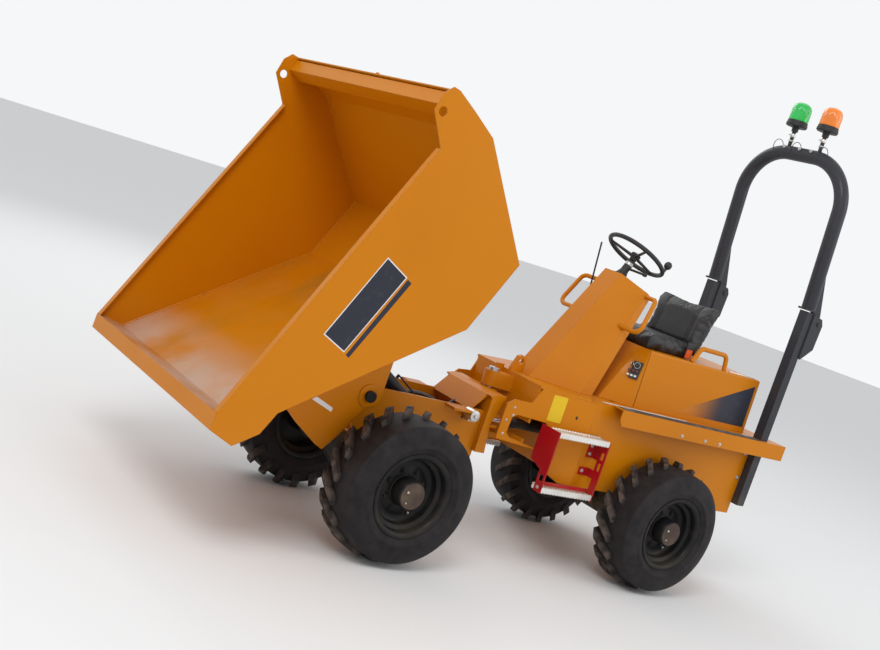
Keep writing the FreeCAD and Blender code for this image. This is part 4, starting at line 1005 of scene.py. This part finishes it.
@dataclass
class Beacon:
    """Ribbed lens on a rubber foot, clamped to a stem on the hoop."""

    colour: str
    finish: Finish
    drop: float = 0.274
    radius: float = 0.061
    rise: float = 0.156
    ribs: int = 48
    rib_depth: float = 0.0012
    ribbed: Pair = (0.004, 0.090)
    stem: float = 0.012
    clamp: float = 0.0165
    clamp_bolt: float = 0.063

    def _lens(self, foot: Vector) -> Shape:
        """Models the lens with its upright ribs."""
        shape, radius, rise = Shape(), self.radius, self.rise
        shape.lathe([(radius - 0.002, rise), (radius, rise + 0.006), (radius, rise + 0.066),
                     (radius - 0.003, rise + 0.084), (radius - 0.012, rise + 0.101),
                     (radius - 0.028, rise + 0.112), (0.012, rise + 0.1172), (0.0, rise + 0.118)],
                    foot, UP, self.ribs * 2)
        low, high = self.ribbed
        for vert in shape.bm.verts:
            out = Vector((vert.co.x - foot.x, vert.co.y - foot.y, 0.0))
            if out.length > radius - 0.004 and low < vert.co.z - foot.z - rise < high:
                step = round(math.atan2(out.y, out.x) / (math.pi / self.ribs))
                vert.co -= out.normalized() * (self.rib_depth if step % 2 else 0.0)
        return shape

    def _base(self, foot: Vector) -> Shape:
        """Models the rubber foot on its stem."""
        shape = Shape()
        shape.lathe([(0.0, 0.118), (0.060, 0.118), (0.066, 0.124), (0.066, 0.138), (0.063, 0.142),
                     (0.063, 0.154), (0.058, 0.158), (0.0, 0.158)], foot, UP, 64)
        shape.rod(foot, foot + UP * 0.120, self.stem, 24)
        shape.lathe([(self.stem, 0.086), (0.020, 0.088), (0.022, 0.118), (self.stem, 0.119)], foot, UP, 32)
        return shape

    def _clamp(self, foot: Vector) -> Shape:
        """Models the clamp with its wing bolt and the nut below it."""
        shape = Shape()
        shape.rod(foot + UP * 0.052, foot + UP * 0.074, self.clamp, 28, bevel=0.0015)
        bolt = foot + UP * self.clamp_bolt
        shape.rod(bolt, bolt + ALONG_X * 0.034, 0.0035, 14)
        shape.box(foot + Vector((0.026, -0.014, 0.059)), foot + Vector((0.031, 0.014, 0.067)), 0.0018)
        shape.rod(foot + UP * 0.024, foot + UP * 0.034, 0.018, 6, bevel=0.001)
        return shape

    def build(self) -> None:
        """Puts the lens, its foot and its clamp in their places."""
        node = f"beacon_{self.colour}"
        low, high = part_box(node)
        middle = (low + high) / 2
        foot = Vector((middle.x, middle.y, high.z - self.drop))
        self._lens(foot).piece(f"lens_{self.colour}", self.finish, Body.HOOP.value, [node], 25.0)
        self._base(foot).piece(f"foot_of_{node}", Finish.BLACK, Body.HOOP.value)
        self._clamp(foot).piece(f"clamp_of_{node}", Finish.ZINC, Body.HOOP.value)


@dataclass
class HoopTrim:
    """Fixings and the thin cable of the roll bar, tied to its cross tube."""

    tube_at: Point = (-1.7231, 0.0, 2.7245)
    tube: float = 0.043
    bolts_y: Sequence[float] = (-0.120, 0.0, 0.090)
    cable: float = 0.0035
    ahead: float = 0.004
    below: float = 0.004
    route: Line = (
        (-0.270, 0.001), (-0.150, 0.006), (-0.060, 0.0), (0.060, 0.005), (0.150, 0.0), (0.270, 0.002))
    ties_y: Sequence[float] = (-0.205, -0.060, 0.150)
    tie: float = 0.0022

    def build(self) -> None:
        """Models the trim."""
        x, _, z = self.tube_at
        bolts = Shape()
        bolts.bolts([(x + self.tube - LAID, y, z) for y in self.bolts_y], ALONG_X)
        bolts.piece("hoop_fixings", Finish.ZINC, Body.HOOP.value)
        cable = Shape()
        low = z - self.tube - self.below
        cable.hose([(x + self.ahead, y, low - sag) for y, sag in self.route], self.cable)
        for y in self.ties_y:
            cable.ring((x, y, z), ALONG_Y, self.tube + 0.001, self.tie, 40, 8)
        cable.piece("hoop_cable", Finish.HOSE, Body.HOOP.value)


@dataclass
class SkipTrim:
    """Blank films, weld beads, a blank label and the rail ring of the skip."""

    side_y: float = 0.772
    inside_y: float = 0.764
    bead: float = 0.0055
    bead_inset: float = 0.007
    floor_line: Line = (
        (1.967, 0.641), (1.822, 0.607), (0.902, 1.227), (0.735, 1.572), (1.102, 2.060), (1.230, 2.136),
        (1.340, 2.196))
    outlines: ClassVar[dict[str, tuple[Finish, float, Line]]] = {
        "skip_border": (Finish.WHITE_LABEL, 0.0002,
                        ((1.4215, 1.4405), (1.2965, 1.3795), (1.4825, 1.0025), (1.6055, 1.0585))),
        "skip_band": (Finish.DARK_FILM, 0.0005,
                      ((1.420, 1.434), (1.303, 1.377), (1.484, 1.009), (1.599, 1.061))),
        "skip_stripe": (Finish.DARK_FILM, 0.0003,
                        ((1.290, 1.372), (1.266, 1.360), (1.452, 0.984), (1.470, 0.994))),
    }
    ring_at: Point = (1.300, 0.0, 2.184)
    ring: float = 0.020
    ring_bar: float = 0.0055
    label_y: float = 0.3458
    label: Line = ((1.297, 0.681), (1.275, 0.697), (1.172, 0.658), (1.175, 0.638))

    def _films(self) -> None:
        """Lays the films on both sides."""
        for name, (finish, thick, outline) in self.outlines.items():
            for side in Side:
                shape = Shape()
                shape.panel([(x, side.value * (self.side_y - LAID), z) for x, z in outline],
                            (0, side.value * (thick + LAID), 0))
                shape.piece(f"{name}_{side.word}", finish, Body.SKIP.value)

    def _beads(self) -> None:
        """Lays the weld beads where the floor meets the side walls, inside."""
        shape = Shape()
        line = self.floor_line
        points = []
        for before, at, after in zip((line[0], *line), line, (*line[1:], line[-1])):
            way = (Vector(after) - Vector(before)).normalized() * self.bead_inset
            points.append((at[0] + way.y, self.inside_y, at[1] - way.x))
        shape.bead(points, self.bead)
        for point in points[1:-1]:
            bmesh.ops.create_icosphere(shape.bm, subdivisions=2, radius=self.bead,
                                       matrix=Matrix.Translation(point))
        shape.mirror_y()
        shape.piece("skip_weld_beads", Finish.SCRAPED, Body.SKIP.value)

    def build(self) -> None:
        """Models the trim."""
        self._films()
        self._beads()
        ring = Shape()
        ring.ring(self.ring_at, ALONG_X, self.ring, self.ring_bar, 32, 10)
        ring.piece("rail_ring", Finish.YELLOW, Body.SKIP.value)
        label = Shape()
        label.panel([(x, self.label_y, z) for x, z in self.label], ALONG_Y * LABEL_FILM)
        label.piece("bracket_label", Finish.WHITE_LABEL, Body.SKIP.value)


@dataclass
class FrontTrim:
    """Short hoses and a valve block on the front frame."""

    block_at: Point = (0.270, 0.185, 0.735)
    block: float = 0.030
    block_length: float = 0.077
    nut: float = 0.012
    nut_length: float = 0.010
    seat_low: Point = (0.248, 0.180, 0.700)
    seat_high: Point = (0.292, 0.240, 0.712)
    routes: Sequence[tuple[float, Sequence[Point]]] = (
        (0.010, ((0.623, 0.034, 0.738), (0.517, 0.034, 0.766), (0.393, 0.034, 0.734))),
        (0.010, ((0.287, 0.034, 0.724), (0.230, 0.034, 0.785), (0.161, 0.034, 0.752))),
        (0.008, ((0.270, 0.200, 0.712), (0.300, 0.160, 0.690), (0.360, 0.110, 0.700))))

    def build(self) -> None:
        """Models the trim."""
        block = Shape()
        start = Vector(self.block_at)
        end = start + ALONG_Y * self.block_length
        block.rod(start, end, self.block, 40, bevel=0.003)
        block.rod(end, end + ALONG_Y * self.nut_length, self.nut, 6, bevel=0.001)
        block.box(self.seat_low, self.seat_high, 0.002)
        block.piece("silver_valve_block", Finish.ZINC, Body.FRONT.value)
        hoses = Shape()
        for radius, route in self.routes:
            hoses.hose(route, radius)
        hoses.piece("front_hoses", Finish.HOSE, Body.FRONT.value)


@dataclass
class RamTrim:
    """The oil pipe with its two ports on each tip ram's barrel."""

    foot: Point = (0.345, 0.0, 0.570)
    head: Point = (0.800, 0.0, 0.840)
    ports: Pair = (0.080, 0.430)
    barrel: float = 0.034
    port: float = 0.009
    port_root: float = 0.006
    port_top: float = 0.014
    pipe: float = 0.0045
    pipe_lift: float = 0.012

    def build(self) -> None:
        """Models the trim of both barrels."""
        along = (Vector(self.head) - Vector(self.foot)).normalized()
        up = Vector((-along.z, 0.0, along.x))
        for side in Side:
            low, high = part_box(f"tip_barrel_{side.word}")
            foot = Vector((self.foot[0], (low.y + high.y) / 2, self.foot[2]))
            ends = [foot + along * reach + up * self.barrel for reach in self.ports]
            shape = Shape()
            for end in ends:
                shape.rod(end - up * self.port_root, end + up * self.port_top, self.port, 6)
            shape.bead([end + up * self.pipe_lift for end in ends], self.pipe, 12)
            shape.piece(f"ram_pipe_{side.word}", Finish.CHASSIS, f"tip_barrel_{side.word}")


@dataclass
class StepTrim:
    """Bolts and grommets of the side plates, and the blank label beside the window."""

    bend_x: float = -0.430
    wide: float = 0.372
    front_x: float = 0.120
    narrow: float = 0.2641
    out: Point = (0.192, 0.981, 0.0)
    plate: float = 0.004
    front_foot: Line = ((-0.170, 0.735), (-0.170, 0.690), (-0.170, 0.640))
    rear_foot: Line = ((-0.485, 0.730), (-0.485, 0.685), (-0.470, 0.583))
    tread_bolt: Point = (-0.137, 0.440, 0.470)
    leg_bolts: Line = ((-1.735, 0.870), (-1.735, 0.715))
    nose_bolts: Line = ((0.050, 0.829), (0.045, 0.788), (0.074, 0.755), (0.070, 0.680))
    grommet_at: Pair = (-0.329, 0.858)
    grommet: float = 0.010
    label_x: Pair = (-0.239, -0.153)
    label_z: Pair = (0.806, 0.950)
    label_corner: float = 0.006

    def _side(self, x: float, z: float, lift: float = 0.0) -> Vector:
        """A point on the left side plate's outer face, or a little outside it."""
        share = max(0.0, (x - self.bend_x) / (self.front_x - self.bend_x))
        return Vector((x, self.wide + (self.narrow - self.wide) * share + lift, z))

    def _bolts(self, out: Vector) -> Shape:
        """Models the bolts of the step frames, the hoop's legs and the nose."""
        shape = Shape()
        shape.bolts([self._side(x, z, self.plate) for x, z in self.front_foot], out, 0.009)
        shape.bolts([self._side(x, z, self.plate) for x, z in self.rear_foot], ALONG_Y, 0.009)
        shape.bolt(self.tread_bolt, ALONG_X, 0.008)
        shape.bolts([self._side(x, z, -SEATED) for x, z in self.leg_bolts], ALONG_Y, 0.010)
        shape.bolts([self._side(x, z, -SEATED) for x, z in self.nose_bolts], out, 0.005)
        return shape

    def build(self) -> None:
        """Models the trim of both sides and the label, which only the left side has."""
        out = Vector(self.out)
        bolts = self._bolts(out)
        bolts.mirror_y()
        bolts.piece("side_plate_bolts", Finish.ZINC, Body.REAR.value)
        grommet = Shape()
        at = self._side(*self.grommet_at)
        grommet.rod(at - ALONG_Y * 0.002, at + out * LABEL_FILM, self.grommet, 32)
        grommet.mirror_y()
        grommet.piece("side_plate_grommets", Finish.BLACK, Body.REAR.value)
        label = Shape()
        (x0, x1), (z0, z1) = self.label_x, self.label_z
        corners = [self._side(x, z) for x, z in ((x0, z0), (x1, z0), (x1, z1), (x0, z1))]
        label.panel(corners, out * LABEL_FILM, self.label_corner)
        label.piece("blank_side_label", Finish.YELLOW_LABEL, Body.REAR.value)


@dataclass
class DeckTrim:
    """Grip strips and flange bolts of the deck."""

    level: float = 0.976
    edge: float = 0.455
    strip_x: Pair = (-1.150, -0.470)
    strip_y: Pair = (0.347, 0.370)
    strip_high: float = 0.003
    grip_x: Pair = (-1.740, -0.570)
    grip_y: Pair = (0.376, 0.448)
    grip_high: float = 0.0022
    strip_edge: float = 0.0008
    bolts_x: Sequence[float] = (-1.050, -1.250, -1.380)
    bolts_z: float = 0.905

    def _strip(self, span: Pair, wide: Pair, high: float) -> Shape:
        """Models a strip laid on the deck, on both sides."""
        shape = Shape()
        shape.box((span[0], wide[0], self.level - LAID), (span[1], wide[1], self.level + high),
                  self.strip_edge)
        shape.mirror_y()
        return shape

    def build(self) -> None:
        """Models the trim of both sides."""
        strip = self._strip(self.strip_x, self.strip_y, self.strip_high)
        strip.piece("deck_edge_strips", Finish.GRIP, Body.REAR.value)
        grip = self._strip(self.grip_x, self.grip_y, self.grip_high)
        grip.piece("deck_grip_strips", Finish.DARK_GRIP, Body.REAR.value)
        bolts = Shape()
        bolts.bolts([(x, self.edge - SEATED, self.bolts_z) for x in self.bolts_x], ALONG_Y)
        bolts.mirror_y()
        bolts.piece("deck_edge_bolts", Finish.ZINC, Body.REAR.value)


@dataclass
class CoverTrim:
    """The cover's fading bands, and bright strips at its top: a painted highlight along its top edges."""

    foot: Pair = (0.295, 0.984)
    head: Pair = (0.285, 1.310)
    corners: Line = ((-1.715, 1.010), (-1.102, 1.008), (-1.715, 1.270))
    band_film: float = 0.0010
    strip_low: Point = (-1.710, 0.250, 1.3092)
    strip_high: Point = (-1.470, 0.268, 1.316)

    def _y(self, z: float) -> float:
        """Half-width of the cover at a height."""
        (y0, z0), (y1, z1) = self.foot, self.head
        return y0 + (y1 - y0) * (z - z0) / (z1 - z0)

    def build(self) -> None:
        """Models the trim of both sides."""
        for side in Side:
            band = Shape()
            band.panel([(x, side.value * (self._y(z) - SEATED), z) for x, z in self.corners],
                       (0, side.value * self.band_film, 0))
            band.piece(f"cover_band_{side.word}", Finish.FADE_FILM, Body.COVER.value)
        # Painted highlight: bright aluminium strips along the cover's top stand in for the light caught along
        # its edges.
        strip = Shape()
        strip.box(self.strip_low, self.strip_high, 0.002)
        strip.mirror_y()
        strip.piece("cover_top_strips", Finish.GRIP, Body.COVER.value)


@dataclass
class PanelTrim:
    """Gauge, key switch, buttons and blank labels of the control panel."""

    foot: tuple[Point, Point] = ((-0.730, 0.295, 0.976), (-0.560, 0.210, 0.976))
    head: tuple[Point, Point] = ((-0.756, 0.284, 1.310), (-0.751, 0.205, 1.310))
    corner: Pair = (0.10, 0.46)
    far_span: float = 0.52
    far_rise: float = 0.76
    proud: float = 0.010
    gauge_at: Pair = (0.024, 0.078)
    gauge: float = 0.017
    bezel: float = 0.0165
    key_at: Pair = (0.054, 0.080)
    key: float = 0.009
    grip: Point = (0.004, 0.004, 0.009)
    row: int = 3
    pitch: float = 0.021
    button_at: Pair = (0.016, 0.044)
    button: float = 0.0085
    lamp: float = 0.0042
    label_at: Pair = (0.010, 0.012)
    label: Pair = (0.014, 0.010)

    def _at(self, span: float, rise: float) -> Vector:
        """A point of the panel's plane by its shares across and up."""
        low = Vector(self.foot[0]).lerp(Vector(self.foot[1]), span)
        high = Vector(self.head[0]).lerp(Vector(self.head[1]), span)
        return low.lerp(high, rise)

    def _plane(self) -> tuple[Vector, Vector, Vector]:
        """Ways across, up and out of the panel."""
        span, rise = self.corner
        origin = self._at(span, rise)
        across = (self._at(self.far_span, rise) - origin).normalized()
        out = across.cross(self._at(span, self.far_rise) - origin).normalized()
        out = out if out.x > 0 else -out
        up = out.cross(across).normalized()
        return across, (up if up.z > 0 else -up), out

    def build(self) -> None:
        """Models the switches."""
        across, up, out = self._plane()
        face = self._at(*self.corner) + out * self.proud

        def spot(place: Pair, number: int = 0) -> Vector:
            """A place on the panel's face, or the same place further along a row."""
            return face + across * (place[0] + self.pitch * number) + up * place[1]

        black, bright, red, pale = Shape(), Shape(), Shape(), Shape()
        gauge, key, grip = spot(self.gauge_at), spot(self.key_at), Vector(self.grip)
        black.rod(gauge, gauge + out * 0.006, self.gauge, 32, bevel=0.001)
        bright.ring(gauge + out * 0.006, out, self.bezel, 0.0013, 40, 8)
        bright.rod(key, key + out * 0.008, self.key, 24, bevel=0.001)
        black.box(key + out * 0.012 - grip, key + out * 0.012 + grip, 0.002)
        for number in range(self.row):
            at = spot(self.button_at, number)
            black.rod(at, at + out * 0.005, self.button, 24, bevel=0.001)
            red.rod(at + out * 0.005, at + out * 0.0075, self.lamp, 20, bevel=0.0006)
            low = spot(self.label_at, number)
            wide, high = across * self.label[0], up * self.label[1]
            pale.panel([low, low + wide, low + wide + high, low + high], out * LABEL_FILM)
        for name, shape, finish in (
                ("panel_switches", black, Finish.BLACK), ("panel_rings", bright, Finish.ZINC),
                ("panel_buttons", red, Finish.RED_BUTTON), ("panel_blank_labels", pale, Finish.WHITE_LABEL)):
            shape.piece(name, finish, Body.REAR.value)


@dataclass
class Seat:
    """Two-piece vinyl seat, blown up by simulation, with sewn bolsters and a lap belt."""

    half: float = 0.235
    cushion_x: Pair = (-1.150, -0.770)
    cushion_z: Pair = (1.310, 1.405)
    back_foot: Pair = (-1.150, 1.310)
    back_height: float = 0.345
    back_thick: float = 0.080
    back_face: Point = (1.0, 0.0, 0.18)
    rake: float = 0.060
    voxel: float = 0.007
    pressure: float = 4.0
    stiffness: float = 25.0
    frames: int = 14
    cap: float = 0.022
    shrink: float = 0.013
    seam_y: float = 0.135
    seam_wide: float = 0.0075
    seam_deep: float = 0.009
    bolster_wide: float = 0.05
    bolster_high: float = 0.006
    facing: float = 0.25
    fill: float = 0.8
    belt_y: float = 0.2365
    webbing: float = 0.0095
    buckle: float = 0.011

    def _swell(self, obj: bpy.types.Object) -> None:
        """Blows the pad up under its cover, then keeps each point near its start.

        Args:
            obj: the pad, which is changed.
        """
        remesh = obj.modifiers.new("grain", "REMESH")
        remesh.mode, remesh.voxel_size = "VOXEL", self.voxel
        self._apply(obj)
        start = [v.co.copy() for v in obj.data.vertices]
        cloth = obj.modifiers.new("cover", "CLOTH")
        cloth.settings.use_pressure = True
        cloth.settings.uniform_pressure_force = self.pressure
        cloth.settings.effector_weights.gravity = 0.0
        cloth.settings.tension_stiffness = cloth.settings.compression_stiffness = self.stiffness
        cloth.point_cache.frame_end = self.frames
        for number in range(1, self.frames + 1):
            bpy.context.scene.frame_set(number)
        self._apply(obj)
        bpy.context.scene.frame_set(1)
        for vert, origin in zip(obj.data.vertices, start):
            move = vert.co - origin
            if move.length > self.cap:
                vert.co = origin + move.normalized() * self.cap

    @staticmethod
    def _apply(obj: bpy.types.Object) -> None:
        """Puts the result of an object's modifiers into its mesh."""
        graph = bpy.context.evaluated_depsgraph_get()
        mesh = bpy.data.meshes.new_from_object(obj.evaluated_get(graph))
        obj.modifiers.clear()
        obj.data = mesh

    def _sew(self, mesh: bpy.types.Mesh, face: Vector) -> None:
        """Draws the seams in and lifts the side bolsters on a pad's worn face."""
        middle = sum((v.co for v in mesh.vertices), Vector()) / len(mesh.vertices)
        for vert in mesh.vertices:
            if (vert.co - middle).dot(face) <= 0 or vert.normal.dot(face) < self.facing:
                continue
            beyond = abs(vert.co.y) - self.seam_y
            seam = math.exp(-(beyond / self.seam_wide) ** 2)
            bolster = max(0.0, min(1.0, beyond / self.bolster_wide))
            vert.co += face * (self.bolster_high * bolster - self.seam_deep * seam)

    def _pad(self, name: str, node: str, outline: Line, face: Vector) -> None:
        """A pad with sewn side bolsters in the place of a plain node.

        Args:
            name: the pad's name.
            node: the plain node, whose box the pad stays in.
            outline: its side view as X and Z.
            face: the way its worn face looks.
        """
        shape = Shape()
        edge = self.half - self.shrink
        shape.panel([(x, -edge, z) for x, z in outline], (0, 2 * edge, 0))
        obj = link(bpy.data.objects.new(name, shape.mesh(name)))
        self._swell(obj)
        self._sew(obj.data, face)
        low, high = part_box(node)
        for vert in obj.data.vertices:
            for axis in range(3):
                vert.co[axis] = max(low[axis], min(high[axis], vert.co[axis]))
        for polygon in obj.data.polygons:
            polygon.use_smooth = True
        dress(obj, Finish.VINYL, Body.COVER.value, [node])
        soften = obj.modifiers.new("soften", "SUBSURF")
        soften.levels = soften.render_levels = 1

    def _belt(self) -> None:
        """Models the ends of the lap belt beside the cushion, with its buckle and its reel."""
        web, black = self.belt_y + self.webbing, self.belt_y + self.buckle
        belt = Shape()
        belt.box((-1.128, -web, 1.318), (-1.082, -self.belt_y, 1.372), 0.002)
        belt.box((-1.128, self.belt_y, 1.318), (-1.082, web, 1.372), 0.002)
        belt.piece("belt_webbing", Finish.WEB, Body.COVER.value)
        buckle = Shape()
        buckle.box((-1.140, self.belt_y, 1.370), (-1.070, black, 1.412), 0.004)
        buckle.box((-1.146, -black, 1.3105), (-1.064, -self.belt_y, 1.345), 0.004)
        buckle.piece("belt_buckle", Finish.BLACK, Body.COVER.value)

    def build(self) -> None:
        """Models the seat."""
        gap = self.shrink
        (x0, x1), (z0, z1) = self.cushion_x, self.cushion_z
        cushion = [(x0 + gap, z0 + 0.004), (x1 - gap, z0 + 0.004), (x1 - gap, z1 - 0.034),
                   (x1 - 0.040, z1 - gap), (x0 + gap, z1 - gap - 0.006)]
        self._pad("seat_cushion_cover", "seat_cushion", cushion, UP)
        x, z = self.back_foot
        lean, thick, high = self.rake, self.back_thick, self.back_height
        back = [(x - 0.018, z + 0.060), (x - thick + gap, z + 0.010),
                (x - thick - lean + gap, z + high - 0.040), (x - thick - lean + 0.030, z + high - gap),
                (x - thick + 0.002, z + high - gap), (x - thick + 0.030, z + high - 0.050)]
        self._pad("seat_back_cover", "seat_back", back, Vector(self.back_face).normalized())
        self._belt()


@dataclass(frozen=True)
class Lamp:
    """One soft round lamp."""

    name: str
    at: Point
    aim: Point
    size: float
    power: float

    def build(self) -> None:
        """Puts the lamp in its place."""
        data = bpy.data.lights.new(self.name, "AREA")
        data.shape, data.size, data.energy = "DISK", self.size, self.power
        obj = link(bpy.data.objects.new(self.name, data))
        obj.location = self.at
        obj.rotation_euler = (Vector(self.aim) - Vector(self.at)).to_track_quat("-Z", "Y").to_euler()


@dataclass
class Stage:
    """Pale floor, soft lamps and the camera at the photograph's angle."""

    camera_at: Point = (4.1967, 5.0341, 1.7612)
    heading: float = -126.424
    tilt: float = -5.864
    roll: float = 18.715
    lens: float = 49.415
    sensor: float = 36.0
    reach: float = 300.0
    floor_half: float = 40.0
    floor_tone: Rgb = (0.86, 0.86, 0.85)
    sky_lit: Rgb = (0.68, 0.69, 0.71)
    sky_seen: Rgb = (0.92, 0.93, 0.94)
    lamps: Sequence[Lamp] = (
        Lamp("key", (5.5, 4.5, 7.5), (0.0, 0.0, 1.0), 4.0, 290.0),
        Lamp("fill", (-6.0, 6.0, 4.5), (-0.5, 0.0, 1.2), 5.0, 120.0),
        Lamp("back", (-1.0, -7.5, 6.0), (0.0, 0.0, 1.2), 5.0, 130.0))

    def camera(self) -> None:
        """Sets up the camera."""
        data = bpy.data.cameras.new("view")
        data.lens, data.sensor_width, data.clip_end = self.lens, self.sensor, self.reach
        obj = link(bpy.data.objects.new("view", data))
        head, tilt = math.radians(self.heading), math.radians(self.tilt)
        look = Vector((math.cos(tilt) * math.cos(head), math.cos(tilt) * math.sin(head), math.sin(tilt)))
        turn = look.to_track_quat("-Z", "Y").to_matrix() @ Matrix.Rotation(math.radians(self.roll), 3, "Z")
        obj.location = self.camera_at
        obj.rotation_euler = turn.to_euler()
        bpy.context.scene.camera = obj

    def floor(self) -> None:
        """Lays the floor."""
        bm = bmesh.new()
        bmesh.ops.create_grid(bm, x_segments=1, y_segments=1, size=self.floor_half)
        mesh = bpy.data.meshes.new("floor")
        bm.to_mesh(mesh)
        bm.free()
        obj = link(bpy.data.objects.new("floor", mesh))
        g = Graph.named("studio_floor")
        obj.data.materials.append(g.finish(Base_Color=self.floor_tone, Roughness=0.9, Specular_IOR_Level=0.1))

    def sky(self) -> None:
        """Makes the pale surround, lighter to the camera and in reflections than as a light."""
        world = bpy.data.worlds.new("surround")
        bpy.context.scene.world = world
        g = Graph(world)
        path = g.node("ShaderNodeLightPath").outputs
        seen = Signal(g, path["Is Camera Ray"])
        for ray in ("Is Glossy Ray", "Is Transmission Ray"):
            seen = seen.most(Signal(g, path[ray]))
        back = g.node("ShaderNodeBackground", {}, {0: g.mix(seen, self.sky_lit, self.sky_seen)})
        g.node("ShaderNodeOutputWorld", {}, {0: back.outputs[0]})

    def build(self) -> None:
        """Sets the stage."""
        self.camera()
        self.floor()
        self.sky()
        for lamp in self.lamps:
            lamp.build()
        bpy.context.scene.view_settings.view_transform = "Standard"


def build_machine() -> None:
    """Dresses the machine's sub-assemblies in order."""
    Bodywork().dress()
    for end in ("front", "rear"):
        for side in Side:
            Wheel(end, side).build()
    for part in (HandWheel(), ColumnTrim(), Beacon("green", Finish.GREEN), Beacon("amber", Finish.AMBER),
                 HoopTrim(), SkipTrim(), FrontTrim(), RamTrim(), StepTrim(), DeckTrim(), CoverTrim(),
                 PanelTrim(), Seat()):
        part.build()


def main() -> None:
    """Builds the scene."""
    logging.basicConfig(level=logging.INFO, format="%(message)s")
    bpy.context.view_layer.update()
    Stage().build()
    build_machine()


if __name__ == "__main__":
    main()
